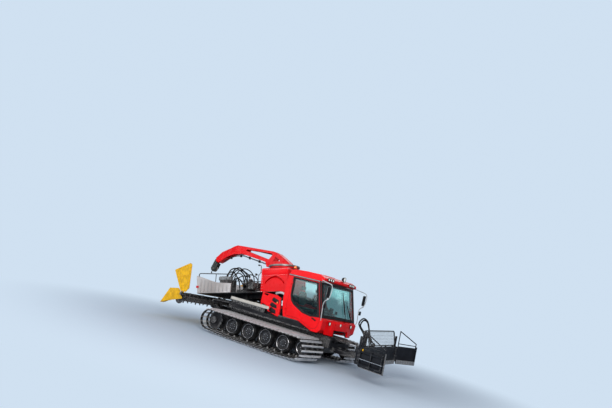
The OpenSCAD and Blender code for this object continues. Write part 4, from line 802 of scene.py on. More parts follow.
@drawn("cab_bands", black_trim, degrees=30, both=True)
def cab_bands(shape):
    """Black strips on the shell: the foot of the roof over the door, and the front pillar beside it."""
    top = [(0.19, 2.632), (1.517, 2.632), (1.5, 2.689), (0.17, 2.689)]
    pillar = [(1.785, 1.5), (1.85, 1.5), (1.518, 2.63), (1.452, 2.63)]
    for outline in (top, pillar):
        shape.slab(outline, WALL - 0.005, WALL + 0.001, 0.002)


@drawn("windscreen_frame", black_trim, degrees=30)
def screen_frame(shape):
    """Black border of the windscreen: a band between two rectangles laid on the bulged glass."""
    t = np.linspace(0, 1, 25)[:-1, None, None]
    fine = lambda o: (o * (1 - t) + np.roll(o, -1, 0) * t).transpose(1, 0, 2).reshape(-1, 2)
    outer = fine(rectangle(-1.155, 1.155, -0.04, 1.185))
    inner = fine(rectangle(-1.035, 1.035, 0.055, 1.075))
    rows = [(0.004, outer), (0.013, outer), (0.013, inner), (0.004, inner)]
    g = np.stack([np.column_stack([np.full(len(o), x), o]) for x, o in rows])
    shape.grid(on_screen(g), around=True, along=True)


@drawn("wipers", black_trim)
def wipers(shape):
    """Two arms and blades against the glass: bars through points of the windscreen, with a thin lip."""
    for foot, tip, low, high in ((0.3, 0.19, -0.03, 0.95), (0.78, 0.5, -0.03, 0.52)):
        across, up = tip - foot, high - low
        at = lambda *spots: np.array([(out, foot + across * k, low + up * k) for k, out in spots])
        shape.tube(on_screen(spline(at((0, 0.015), (0.1, 0.05), (0.5, 0.05), (0.72, 0.035)), 5)), 0.011, 8)
        shape.tube(on_screen(at((0.22, 0.026), (0.5, 0.03), (0.75, 0.03), (1.0, 0.026))), 0.013, 8)
        shape.tube(on_screen(at((0.22, 0.017), (0.6, 0.017), (1.0, 0.017))), 0.005, 6)
        shape.tube(on_screen(at((0, -0.01), (0, 0.03))), 0.028, 12)


@drawn("roof_gutter", tube_grey)
def gutter(shape):
    """Pale rail round the cab under the roof: a small bar along the sides and over the windscreen."""
    y = CAB_Y + 0.012
    path = np.array([
        (0.2, -y, 2.664), (1.46, -y, 2.664), (1.54, -y + 0.07, 2.664), (1.565, -0.75, 2.67),
        (1.575, 0, 2.672)])
    shape.tube(fillet(np.vstack([path, path[-2::-1] * [1, -1, 1]]), 0.05), 0.011, 8)


@drawn("rear_window_seal", black_trim, degrees=30)
def rear_window(shape):
    """Rubber border of the rear window: a ring between two rectangles on the back wall."""
    outer = fillet(rectangle(-1.0, 1.0, 1.89, 2.575), 0.06, 5, closed=True)
    shape.ring(outer, outer + 0.035 * inward(outer), 0.128, 0.165, axis="x")


@drawn("roof_fittings", red_lacquer)
def roof_fittings(shape):
    """Hatch lids with rolled rims and two ribs on the roof."""
    shape.case((0.62, -0.38, 2.885), (1.12, 0.38, 2.925), 0.015, 0.07)
    shape.case((0.3, -0.3, 2.86), (0.52, 0.3, 2.905), 0.012, 0.05)
    for y in (-0.62, 0.62):
        shape.case((0.34, y - 0.03, 2.865), (1.34, y + 0.03, 2.905), 0.012, 0.028)


# Lamps: each round one as its centre, its tilt in degrees, its radius, its depth and its number of sides

ROOF_LAMPS = [((1.588, s * y, 2.776), 8, 0.046, 0.06, 24) for s in (-1, 1) for y in (0.89, 0.75, 0.61)]
HEAD_LAMPS = [((1.932, y, 1.37), 0, 0.056, 0.048, 28) for y in (-0.76, -0.02, 0.74)]
SEARCH_LAMP = ((1.47, 0.26, 2.938), 0, 0.08, 0.108, 32)
BEACON = (0.26, -1.035, 0)


def tilted(centre, degrees):
    """Turns what is drawn round the origin, facing +X, up by an angle about Y and moves it to the centre."""
    return lambda p: tipped(p, degrees, centre)


@drawn("lamp_cases", black_trim, stands_for=("lamps",))
def lamp_cases(shape):
    """Lamp housings: a cup of revolution with a rolled bezel for each round lamp, and the beacon's foot."""
    for centre, tilt, r, d, sides in ROOF_LAMPS + HEAD_LAMPS:
        shape.place = tilted(centre, tilt)
        bezel = [(r * 1.06, d - 0.012), (r * 1.1, d - 0.004), (r * 1.06, d + 0.006), (r * 0.92, d + 0.004)]
        back = [(0.0, 0.0), (r * 0.6, 0.0), (r, d * 0.6)]
        shape.lathe(back + bezel + [(r * 0.88, d - 0.012), (0.0, d - 0.014)], axis="x", sides=sides)
        if tilt:
            surround = [(0.047, 0.05), (0.064, 0.05), (0.066, 0.056), (0.064, 0.062), (0.047, 0.062)]
            shape.lathe(surround + surround[:1], axis="x", sides=sides)
    shape.place = tilted(*SEARCH_LAMP[:2])
    bowl = [
        (0, 0), (0.045, 0.002), (0.068, 0.03), (0.08, 0.08), (0.084, 0.105), (0.08, 0.112), (0.072, 0.106),
        (0, 0.1)]
    shape.lathe(bowl, axis="x", sides=32)
    shape.place = None
    stalk = [(0, 2.81), (0.03, 2.81), (0.026, 2.83), (0.016, 2.84), (0.016, 2.87), (0, 2.875)]
    shape.lathe(stalk, (1.53, 0.26, 0), "z", 20)
    foot = [(0, 2.844), (0.062, 2.844), (0.062, 2.885), (0.056, 2.896), (0.05, 2.904), (0, 2.905)]
    shape.lathe(foot, BEACON, "z", 28)


@drawn("lamp_lenses", lamp_glass)
def lamp_lenses(shape):
    """Clear lenses: shallow domes, each rising by 14 mm from its rim to its middle."""
    for centre, tilt, r, d, sides in ROOF_LAMPS + HEAD_LAMPS + [SEARCH_LAMP]:
        shape.place = tilted(centre, tilt)
        dome = [(r * 0.9 * math.sin(a), d - 0.006 + 0.014 * math.cos(a)) for a in np.linspace(1.57, 0, 6)]
        shape.lathe([(0.0, d - 0.01)] + dome, axis="x", sides=sides)


@drawn("beacon_dome", orange_lens)
def beacon_dome(shape):
    """Beacon: a drum that closes in a quarter round."""
    drum = [(0, 2.903), (0.047, 2.903), (0.05, 2.912), (0.05, 2.94)]
    top = [(0.05 * math.cos(t), 2.94 + 0.055 * math.sin(t)) for t in np.linspace(0, math.pi / 2, 7)[1:]]
    shape.lathe(drum + top, BEACON, "z", 32)


@drawn("side_markers", orange_lens, both=True)
def side_markers(shape):
    """Small marker lamps: rounded cases on the frames behind the cab."""
    shape.case((-0.055, WALL - 0.028, 1.575), (-0.005, WALL - 0.004, 1.635), 0.008, 0.015, axis="y")


@drawn("tail_lamps", red_lens, "bed", place=on_bed, both=True)
def tail_lamps(shape):
    """Tail lamps on the rear corners of the bed: rounded cases."""
    shape.case((-2.02, -1.118, 0.47), (-1.9, -1.092, 0.56), 0.008, 0.02, axis="y")


# Mirrors

MIRROR_Y = WALL - 0.105
BOW = [(1.67, 2.7), (2.03, 2.64), (2.075, 2.48), (2.03, 2.16), (1.9, 2.09), (1.85, 1.99), (1.895, 1.54)]


@drawn("mirror_bows", tube_grey, both=True, stands_for=("mirrors",))
def mirror_bows(shape):
    """Bows: round tube through the CAD route with soft bends, and clamps where the housings hang."""
    route = np.vstack([[(1.542, -1.146, 2.726)], at_y(MIRROR_Y, BOW), [(1.85, -1.182, 1.43)]])
    shape.tube(fillet(route, 0.11, 7), 0.0135, 12)
    for z0, z1, x in ((2.115, 2.2, 1.962), (1.885, 1.925, 1.89)):
        shape.tube([(x, MIRROR_Y, z0), (x, MIRROR_Y, z1)], 0.01, 8)
    shape.tube([(1.862, MIRROR_Y, 1.905), (1.91, MIRROR_Y, 1.905)], 0.012, 8)


@drawn("mirror_cases", black_trim, both=True)
def mirror_cases(shape):
    """Mirror housings: slabs with rounded rims and corners."""
    shape.case((1.952, MIRROR_Y - 0.11, 2.19), (1.982, MIRROR_Y + 0.09, 2.56), 0.014, 0.045, axis="x")
    shape.case((1.908, MIRROR_Y - 0.08, 1.83), (1.936, MIRROR_Y + 0.06, 1.98), 0.012, 0.04, axis="x")


@drawn("mirror_faces", bright_steel, both=True)
def mirror_faces(shape):
    """Mirror glass: thin plates with rounded corners on the housings' rear faces."""
    shape.case((1.947, MIRROR_Y - 0.098, 2.205), (1.953, MIRROR_Y + 0.078, 2.545), 0.001, 0.04, axis="x")
    shape.case((1.903, MIRROR_Y - 0.069, 1.84), (1.909, MIRROR_Y + 0.049, 1.97), 0.001, 0.035, axis="x")


# Inside the cab

SEATS = (-0.48, 0.48)


def pad(low, high, lean=0.0, power=0.34):
    """Stuffed pad: a superellipsoid, whose point is the half size times the cosines and sines of the two
    angles, each raised to a small power. Its middle is crowned by a cosine bump and its waist pulled
    in, then it leans."""
    low, high = np.array(low), np.array(high)
    a = np.linspace(-math.pi / 2, math.pi / 2, 25)[:, None]
    b = round_angles(48)[None]
    bend = lambda v: np.sign(v) * np.abs(v) ** power
    x = bend(np.cos(a)) * bend(np.cos(b))
    y = bend(np.cos(a)) * bend(np.sin(b))
    z = bend(np.sin(a)) * np.ones_like(b)
    middle = np.cos(math.pi * np.clip(x, -1, 1) / 2) * np.cos(math.pi * np.clip(y, -1, 1) / 2)
    waist = 1 - 0.03 * np.cos(math.pi * x) ** 2
    g = np.stack([x * waist, y * waist, z * (0.9 + 0.1 * middle)], -1)[1:-1] * (high - low) / 2 * 0.985
    return Shape().grid(tipped(g, math.degrees(lean), (low + high) / 2), around=True, caps=True)


for n, y in enumerate(SEATS):
    for part, low, high, lean in (
        ("cushion", (0.53, y - 0.235, 1.57), (0.99, y + 0.235, 1.678), 0.0),
        ("back", (0.437, y - 0.225, 1.7), (0.527, y + 0.225, 2.195), 0.095),
        ("headrest", (0.41, y - 0.125, 2.235), (0.478, y + 0.125, 2.375), 0.05),
    ):
        soft = piece("seat%d_%s" % (n + 1, part), pad(low, high, lean), seat_cloth, "chassis", 60)


@drawn("cab_fittings", cab_lining_and_painted_shade, stands_for=("cab_interior",))
def cab_fittings(shape):
    """Dash, middle console and seat columns, with rounded rims."""
    shape.slab([(1.5, 1.11), (1.74, 1.11), (1.79, 1.38), (1.7, 1.5), (1.56, 1.48)], -0.7, 0.7, 0.02, 0.04)
    shape.slab([(0.56, 1.3), (1.05, 1.3), (1.15, 1.64), (1.05, 1.72), (0.62, 1.64)], -0.13, 0.13, 0.02, 0.04)
    column = [
        (0, 1.2655), (0.11, 1.2655), (0.11, 1.29), (0.075, 1.31), (0.062, 1.4), (0.062, 1.5), (0.1, 1.555),
        (0, 1.56)]
    for y in SEATS:
        shape.lathe(column, (0.74, y, 0), "z", 28)


@drawn("cab_controls", black_trim)
def controls(shape):
    """Steering levers, joystick and two screens, one of them on its stalk."""
    for y in (-0.56, -0.42):
        shape.tube(spline(at_y(y, [(1.6, 1.46), (1.52, 1.6), (1.44, 1.72)])), 0.011, 10)
        grip = [(0, -0.05), (0.016, -0.05), (0.021, 0.0), (0.017, 0.05), (0, 0.055)]
        shape.lathe(grip, (1.44, y, 1.74), "z", 14)
    shape.tube(spline(at_y(-0.06, [(1.08, 1.68), (1.1, 1.78), (1.09, 1.84)])), 0.014, 10)
    grip = [(0, -0.03), (0.022, -0.03), (0.028, 0.01), (0.02, 0.05), (0, 0.06)]
    shape.lathe(grip, (1.09, -0.06, 1.86), "z", 16)
    shape.tube(spline(at_y(-0.05, [(1.62, 1.48), (1.58, 1.62), (1.52, 1.7)])), 0.012, 10)
    shape.case((1.475, -0.17, 1.68), (1.51, 0.07, 1.86), 0.008, 0.02, axis="x")
    shape.case((1.5, 0.2, 1.66), (1.53, 0.36, 1.78), 0.008, 0.02, axis="x")


# Nose


def nose_front(y, z):
    """The nose's face: 1.99 m ahead in the middle, less the sagitta of a circle of 4 m and its slope above
    1.4 m, and slightly further out below 1.37 m."""
    return 1.99 - 4 + np.sqrt(16 - y**2) - np.clip(z - 1.4, 0, 1) * 0.5 + np.clip(1.37 - z, 0, 0.2) * 0.06


@drawn("nose_recesses", black_trim, degrees=30)
def nose_recesses(shape):
    """Black patches laid on the nose's face as painted shade of its recesses: each a stack of outlines that
    follow the curve.
    """
    for sides in (
        (0.16, 0.3, 1.3, 1.47), (0.38, 0.66, 1.335, 1.42), (0.86, 0.97, 1.25, 1.42),
        (-0.56, -0.42, 1.31, 1.44),
    ):
        outline = fillet(rectangle(*sides), 0.02, 4, closed=True)
        inner = outline + 0.012 * inward(outline)
        rows = [(-0.01, outline), (0.004, outline), (0.005, inner), (-0.004, inner)]
        g = [np.column_stack([nose_front(o[:, 0], o[:, 1]) + d, o]) for d, o in rows]
        shape.grid(g, around=True, caps=True)


@drawn("nose_skirt", black_trim)
def nose_skirt(shape):
    """Black skirt under the nose: a bar that follows its plan curve between the two feet of the cab."""
    y = np.linspace(-1.1, 1.1, 23)
    rise = 0.17 * np.exp(-((y - 0.1) / 0.42) ** 8)
    shape.tube(np.column_stack([nose_front(y, 1.37) - 0.035, y, 0.985 + rise]), 0.02, 10)


# Behind the cab


@drawn("grille_insets", black_trim, degrees=30, both=True)
def grille_insets(shape):
    """Black panels on the red side panels, slanted as the windows in them, and a strip at the front."""
    for x, z, h in ((-0.34, 1.645, 0.155), (-0.385, 1.455, 0.165), (-0.36, 1.285, 0.14)):
        outline = [
            (x, z), (x + 0.06, z + h), (x + 0.37, z + h - 0.11), (x + 0.4, z - 0.1), (x + 0.17, z - 0.06)]
        shape.slab(outline, WALL - 0.003, WALL + 0.003, 0.002, 0.012)
    strip = [(0.045, 1.22), (0.125, 1.22), (0.125, 1.76), (0.045, 1.7)]
    shape.slab(strip, WALL - 0.003, WALL + 0.003, 0.002, 0.012)


@drawn("grille_mesh", black_powder, degrees=30, both=True)
def grille_mesh(shape):
    """Dark mesh behind the slanted windows: thin bars along two directions in the outline, and a black sheet
    behind them as painted shade.
    """
    for x in -0.4 + 0.036 * np.arange(15):
        top = 1.84 if x < -0.12 else 1.84 - (x + 0.12) * 0.9
        low = 1.4 - (x + 0.42) * 0.9 if x < -0.15 else 1.17
        shape.tube(at_y(WALL + 0.052, [(x, low), (min(x + 0.05, 0.11), top)]), 0.006, 6)
    for z in 1.22 + 0.07 * np.arange(9):
        shape.tube(at_y(WALL + 0.06, [(-0.39 + max(0, 1.45 - z) * 0.6, z), (0.1, z)]), 0.005, 6)
    # The sheet behind the bars is painted shade of the dark space behind the grille.
    sheet = [(-0.37, 1.42), (-0.3, 1.83), (0.03, 1.76), (0.1, 1.2), (-0.2, 1.22)]
    shape.slab(sheet, WALL + 0.072, WALL + 0.078, 0.002)


@drawn("air_duct", tube_grey, both=True)
def duct(shape):
    """Pale air duct between the tower and the frame: a tube through four points, wider at its mouth."""
    path = spline([(-0.3, -0.98, 1.9), (-0.16, -1.02, 1.95), (0.0, -1.04, 1.965), (0.1, -1.04, 1.93)], 6)
    shape.tube(path, np.linspace(0.055, 0.038, len(path)), 16)


@drawn("engine_details", dark_casting, both=True)
def engine_details(shape):
    """Upright ribs on both sides of the engine block, each a slab with rounded rims."""
    for k in range(9):
        shape.case((-0.66 + 0.07 * k, -0.375, 1.02), (-0.63 + 0.07 * k, -0.355, 1.44), 0.004, axis="x")


@drawn("deck_edge_bars", edge_aluminium)
def deck_edge_bars(shape):
    """Two pale bars a side along the platform's inner rim."""
    for s in (-1, 1):
        shape.slab(rectangle(-1.18, -0.47, 1.371, 1.392), s * 0.98, s * 0.945, 0.003)
        shape.slab(rectangle(-0.98, -0.47, 1.371, 1.388), s * 0.8, s * 0.775, 0.003)


@drawn("deck_bolts", bright_steel, degrees=25, both=True)
def deck_bolts(shape):
    """Bolts in a row along each side strip."""
    shape.bolts(at_y(-1.2402, [(x, 1.35) for x in np.linspace(-2.02, -0.36, 13)]), (0, -1, 0), 0.011, 0.007)


# Tower and boom

TOWER_X = 1.37


@drawn("tower_slats", boom_lacquer, "bed", place=on_bed, both=True)
def tower_slats(shape):
    """Slats in the lens-shaped slot: thin curved strips at three radii of the slot's arc."""
    for k, r in enumerate((0.475, 0.49, 0.505)):
        shape.tube(arc((1.385, -0.585 + 0.02 * k, 0.345), r, np.radians(np.linspace(42, 138, 25))), 0.008, 6)


@drawn("tower_panels", red_lacquer, "bed", 30, on_bed)
def tower_panels(shape):
    """Side, front and rear panels of the tower: raised sheets with rolled rims."""
    above = [(0.8, 0.905), (1.95, 0.905), (1.95, 1.1), (1.9, 1.165), (0.83, 1.165), (0.8, 1.14)]
    shape.slab(above, -0.617, -0.608, 0.004, 0.02)
    shape.slab(rectangle(0.8, 0.875, 0.3, 0.86), -0.616, -0.608, 0.004, 0.01)
    shape.mirrored()
    shape.slab(rectangle(-0.52, 0.52, 0.34, 1.08), 0.766, 0.777, 0.004, 0.04, axis="x")
    shape.slab(rectangle(-0.52, 0.52, 0.36, 1.04), 1.974, 1.983, 0.004, 0.04, axis="x")


@drawn("tower_trim", black_trim, "bed", place=on_bed)
def tower_trim(shape):
    """Black parts of the tower: seal under the collar, two latch slots and the grab handle."""
    seal = [(0.545, 1.203), (0.575, 1.203), (0.58, 1.215), (0.575, 1.228), (0.545, 1.23)]
    shape.lathe(seal, (TOWER_X, 0, 0), "z", 64)
    shape.slab(rectangle(0.88, 1.06, 0.285, 0.325), -0.622, -0.608, 0.003, 0.012)
    shape.slab(rectangle(1.5, 1.72, 0.285, 0.32), -0.62, -0.608, 0.003, 0.012)
    handle = [(0.765, -0.3, 0.62), (0.735, -0.3, 0.62), (0.735, 0.3, 0.62), (0.765, 0.3, 0.62)]
    shape.tube(fillet(handle, 0.02), 0.01, 8)


@drawn("tower_bolts", bright_steel, "bed", 25, on_bed)
def tower_bolts(shape):
    """Screws round the panels, evenly spaced."""
    rows = [(u, w) for w in (0.925, 1.145) for u in np.linspace(0.83, 1.92, 12)]
    shape.bolts(at_y(-0.617, rows), (0, -1, 0), 0.01, 0.006)
    shape.bolts(at_y(-0.616, [(0.837, w) for w in np.linspace(0.34, 0.86, 6)]), (0, -1, 0), 0.01, 0.006)
    shape.mirrored()
    for v in (-0.5, 0.5):
        shape.bolts(at_y(v, [(0.766, w) for w in np.linspace(0.38, 1.04, 6)]), (-1, 0, 0), 0.01, 0.006)


@drawn("ring_bolts", worn_steel, "boom", 25, on_bed)
def ring_bolts(shape):
    """Ring of bolts on the turntable, at equal angles, left out where the arm stands."""
    a = round_angles(40)
    centres = np.column_stack([TOWER_X + 0.545 * np.cos(a), 0.545 * np.sin(a), np.full(40, 1.3453)])
    shape.bolts(centres[np.abs(centres[:, 1]) > 0.19], (0, 0, 1), 0.016, 0.014)


BOOM_Y = 0.15
PULLEY = (-2.15, 0, 1.42)
ARM_TOP = [
    (1.7, 1.4), (1.62, 1.475), (1.18, 1.818), (0.914, 1.93), (-0.78, 2.27), (-0.9, 2.29), (-1.05, 2.26),
    (-1.25, 2.19), (-1.69, 2.06), (-1.99, 1.85)]
ARM_LOW = [(0.56, 1.54), (-0.64, 1.93), (-1.07, 1.94), (-1.42, 1.85), (-1.7, 1.706), (-1.86, 1.65)]
PIPES = [(0.62, 1.46), (0.5, 1.5), (-0.64, 1.885), (-1.07, 1.895), (-1.4, 1.81), (-1.66, 1.68)]


@drawn("boom_welds", boom_lacquer, "boom", place=on_bed, both=True)
def boom_welds(shape):
    """Weld beads where the arm's cover plates meet its sides: thin tubes with a rippling radius."""
    for route, set_in in ((ARM_TOP, -0.014), (ARM_LOW, 0.014)):
        path = fillet(at_y(-BOOM_Y - 0.001, route) + [0, 0, set_in], 0.03, 4)
        length = lengths(path)
        s = np.linspace(0, length[-1], max(12, int(length[-1] / 0.03)))
        fine = np.column_stack([np.interp(s, length, path[:, i]) for i in range(3)])
        shape.tube(fine, 0.005 * (1 + 0.22 * np.sin(s * 160)), 6)


@drawn("boom_plates", boom_lacquer, "boom", 30, on_bed, both=True)
def boom_plates(shape):
    """Collars and a plate on the arm: rings round the pivots and a doubler over the bend."""
    for u, w, r in ((1.36, 1.455, 0.055), (-1.93, 1.74, 0.06), (0.72, 1.47, 0.045)):
        collar = [(0, -0.016), (r * 0.7, -0.016), (r * 0.8, -0.012), (r, -0.008), (r, 0.002), (0, 0.002)]
        shape.lathe(collar, (u, -BOOM_Y, w), "y", 28)
    plate = [(-0.8, 2.01), (-1.05, 2.02), (-1.2, 1.98), (-1.22, 2.13), (-1.02, 2.2), (-0.8, 2.19)]
    shape.slab(plate, -BOOM_Y - 0.007, -BOOM_Y + 0.001, 0.003, 0.03)


@drawn("boom_pipes", black_trim, "boom", place=on_bed)
def boom_pipes(shape):
    """Two hydraulic pipes under the arm, held by four clamps."""
    for k in range(2):
        shape.tube(fillet(at_y(-0.06 + 0.03 * k, PIPES) - [0, 0, 0.03 * k], 0.12, 6), 0.011, 8)
    for u, w in ((0.2, 1.61), (-0.3, 1.775), (-0.75, 1.885), (-1.25, 1.84)):
        shape.case((u - 0.02, -0.09, w - 0.075), (u + 0.02, -0.01, w + 0.03), 0.006)


@drawn("head_details", worn_steel, "boom", place=on_bed)
def head_details(shape):
    """Pulley, pins and cheek bolts of the head. The pulley's groove is a round hollow in its rim."""
    flange = [(0, 0.05), (0.03, 0.05), (0.05, 0.034), (0.095, 0.03), (0.126, 0.03)]
    angles = np.linspace(-1.35, 1.35, 9)
    groove = [(0.116 - 0.016 * math.cos(t), 0.02 * math.sin(t) / math.sin(1.35)) for t in angles]
    shape.lathe([(r, -y) for r, y in flange] + groove + flange[::-1], PULLEY, "y", 40)
    cap = np.array([(0, 0.112), (0.022, 0.112), (0.026, 0.106), (0.026, 0.09), (0, 0.09)])
    for s in (-1, 1):
        shape.lathe(cap * [1, s], PULLEY, "y", 18)
        cheek = at_y(s * 0.09, [(-2.05, 1.66), (-1.99, 1.55), (-2.19, 1.55), (-2.08, 1.43)])
        shape.bolts(cheek, (0, s, 0), 0.014, 0.01)


@drawn("rope_on_pulley", worn_steel, "boom", place=on_bed)
def rope(shape):
    """Wire rope on the pulley's top: a round bar along its groove."""
    shape.tube(arc(PULLEY, 0.118, np.radians(np.linspace(60, 178, 14))), 0.011, 10)


# Bed


@drawn("bed_side_ribs", side_aluminium, "bed", 30, on_bed, both=True)
def side_ribs(shape):
    """Pressed ribs and rolled rims of the aluminium sides: shallow slabs outside and a cap on top."""
    for u in np.linspace(-1.78, -0.45, 8):
        top = 0.94 - (u + 2.06) * 0.283 if u < -1.0 else 0.642 - (u + 1.0) * 0.07
        shape.slab(rectangle(u - 0.03, u + 0.03, 0.3, top - 0.05), -1.1, -1.088, 0.005, 0.01)
    shape.tube(fillet(at_y(-1.075, [(-2.055, 0.945), (-1.0, 0.645), (-0.285, 0.595)]), 0.05), 0.018, 8)
    shape.slab([(-1.95, 0.264), (-0.285, 0.264), (-0.285, 0.3), (-1.955, 0.3)], -1.102, -1.088, 0.005)


@drawn("bed_rails", black_powder, "bed", place=on_bed, both=True, stands_for=("bed_rail",))
def bed_rails(shape):
    """Rails over the bed: one smooth tube a side through the CAD route, a middle stay and flanges."""
    y = -1.03
    route = [
        (-1.89, 0.267), (-1.89, 0.78), (-2.0, 0.99), (-1.96, 1.05), (-0.33, 0.96), (-0.3, 0.92),
        (-0.3, 0.267)]
    shape.tube(fillet(at_y(y, route), 0.07, 6), 0.0175, 12)
    shape.tube([(-1.1, y, 1.0), (-1.1, y, 0.264)], 0.0145, 10)
    flange = [(0, 0.264), (0.045, 0.264), (0.045, 0.272), (0.02, 0.276), (0.018, 0.285)]
    for u in (-1.89, -1.1, -0.3):
        shape.lathe(flange, (u, y, 0), "z", 16)


@drawn("gear_unit", gear_grey, "bed", 30, on_bed)
def gear_unit(shape):
    """Grey drive unit at the front of the bed: cases with cooling ribs, lids and a round bearing end."""
    shape.case((-1.17, -0.69, 0.27), (-0.77, -0.19, 0.7), 0.03, 0.06)
    for k in range(7):
        shape.case((-1.18, -0.66 + 0.07 * k, 0.34), (-0.76, -0.64 + 0.07 * k, 0.78), 0.006, 0.02)
    bearing = [(0, -0.7), (0.1, -0.7), (0.12, -0.69), (0.12, -0.6), (0.1, -0.58), (0, -0.58)]
    shape.lathe(bearing, (-0.97, 0, 0.56), "y", 28)
    shape.case((-1.12, -0.6, 0.68), (-0.86, -0.3, 0.82), 0.02, 0.04)
    shape.case((-1.32, -0.64, 0.815), (-0.8, -0.34, 0.955), 0.02, 0.05)
    for u in (-1.22, -1.1, -0.98):
        shape.case((u - 0.03, -0.66, 0.83), (u + 0.03, -0.32, 0.968), 0.008, 0.02)


@drawn("valve_stack", dark_casting, "bed", 30, on_bed)
def valve_stack(shape):
    """Valve block, pump and filters on the bed: stacked slabs, and flanged bodies of revolution."""
    for k in range(5):
        shape.case((-0.55 + 0.095 * k, -0.37, 0.275), (-0.47 + 0.095 * k, 0.29, 0.46), 0.008)
    shape.case((-0.17, -0.41, 0.46), (0.25, 0.11, 0.6), 0.02, 0.05)
    for x, y, r, z0, z1 in (
        (0.06, -0.31, 0.07, 0.6, 0.85), (-0.08, -0.16, 0.055, 0.6, 0.8), (0.15, 0.0, 0.05, 0.6, 0.78),
        (-0.35, -0.2, 0.05, 0.46, 0.66), (-0.45, 0.12, 0.045, 0.46, 0.62),
    ):
        lid = [(r, z1 - 0.05), (r * 1.12, z1 - 0.045), (r * 1.12, z1 - 0.02), (r * 0.7, z1), (0, z1)]
        shape.lathe([(0, z0), (r, z0)] + lid, (x, y, 0), "z", 24)
    pump = [
        (0, -0.42), (0.085, -0.42), (0.09, -0.41), (0.09, -0.12), (0.12, -0.11), (0.12, -0.08), (0, -0.08)]
    shape.lathe(pump, (-0.16, 0, 0.56), "y", 28)


# Each hose on the bed as (forward, left, up) from its first fitting to its second.
HOSES = [
    [(-0.9, -0.62, 0.7), (-0.9, -0.62, 0.86), (-0.8, -0.6, 1.16), (-0.62, -0.58, 1.26),
     (-0.4, -0.55, 1.22), (-0.16, -0.5, 1.02), (-0.02, -0.46, 0.74), (-0.02, -0.44, 0.5)],
    [(-0.84, -0.5, 0.72), (-0.83, -0.5, 0.9), (-0.7, -0.48, 1.2), (-0.46, -0.46, 1.3), (-0.2, -0.42, 1.14),
     (0.02, -0.38, 0.98), (0.06, -0.36, 0.85)],
    [(-0.98, -0.56, 0.8), (-0.99, -0.54, 0.95), (-0.92, -0.5, 1.12), (-0.74, -0.44, 1.14),
     (-0.6, -0.4, 0.98), (-0.5, -0.34, 0.76), (-0.48, -0.28, 0.46)],
    [(-0.66, -0.66, 0.27), (-0.66, -0.66, 0.46), (-0.6, -0.64, 0.72), (-0.44, -0.6, 0.86),
     (-0.26, -0.56, 0.8), (-0.16, -0.52, 0.64), (-0.16, -0.425, 0.52)],
    [(-0.76, -0.34, 0.56), (-0.7, -0.36, 0.66), (-0.6, -0.44, 0.82), (-0.44, -0.48, 0.9),
     (-0.26, -0.44, 0.97), (-0.12, -0.28, 0.98), (-0.08, -0.17, 0.86), (-0.08, -0.16, 0.735)],
    [(-0.35, -0.2, 0.465), (-0.348, -0.205, 0.62), (-0.33, -0.22, 0.8), (-0.22, -0.26, 0.99),
     (-0.05, -0.22, 1.05), (0.1, -0.1, 0.98), (0.15, -0.01, 0.86), (0.15, 0.0, 0.735)],
    [(0.25, -0.3, 0.52), (0.38, -0.3, 0.55), (0.5, -0.34, 0.66), (0.6, -0.4, 0.66), (0.7, -0.42, 0.56),
     (0.775, -0.42, 0.5)],
    [(0.25, -0.12, 0.54), (0.4, -0.12, 0.6), (0.55, -0.1, 0.76), (0.68, -0.1, 0.74), (0.775, -0.1, 0.64)],
    [(-0.88, -0.4, 0.8), (-0.87, -0.4, 0.95), (-0.74, -0.38, 1.17), (-0.52, -0.36, 1.24),
     (-0.28, -0.34, 1.14), (-0.12, -0.33, 0.96), (-0.1, -0.33, 0.735)],
    [(-0.92, -0.3, 0.8), (-0.91, -0.3, 0.92), (-0.78, -0.29, 1.08), (-0.58, -0.28, 1.12),
     (-0.4, -0.27, 1.0), (-0.33, -0.27, 0.8), (-0.33, -0.27, 0.465)],
    [(-0.84, -0.24, 0.8), (-0.82, -0.24, 0.98), (-0.66, -0.22, 1.22), (-0.4, -0.2, 1.3),
     (-0.14, -0.16, 1.2), (0.0, -0.1, 1.0), (0.03, -0.06, 0.735)],
]
FITTINGS = [
    (-0.9, -0.62, 0.8), (-0.84, -0.5, 0.8), (-0.98, -0.56, 0.8), (-0.66, -0.66, 0.28), (-0.35, -0.2, 0.66),
    (0.06, -0.36, 0.85), (-0.08, -0.16, 0.8), (0.15, 0.0, 0.78)]


def hose(name, route, radius, body, place=None):
    """Pressure hose held at both ends: a smooth path through its points, carried round by a circle."""
    path = spline(route, 7)
    made = piece(name, Shape(place).tube(path, radius, 12), hose_rubber, body)
    line = (place(path) if place else path) + [SHIFT, 0, 0]


for n, route in enumerate(HOSES):
    hose("bed_hose%d" % (n + 1), np.array(route), 0.025 if n < 4 else 0.02, "bed", on_bed)


@drawn("hose_fittings", bright_steel, "bed", 25, on_bed)
def hose_fittings(shape):
    """Hose fittings: a nut, a collar and a ferrule of revolution at each point, standing up."""
    nut = [(0, -0.02), (0.03, -0.02), (0.03, 0.015), (0.024, 0.02), (0.024, 0.07), (0.02, 0.075), (0, 0.075)]
    for point in FITTINGS:
        shape.lathe(nut, point, "z", 12)


POLE_Y = -0.55


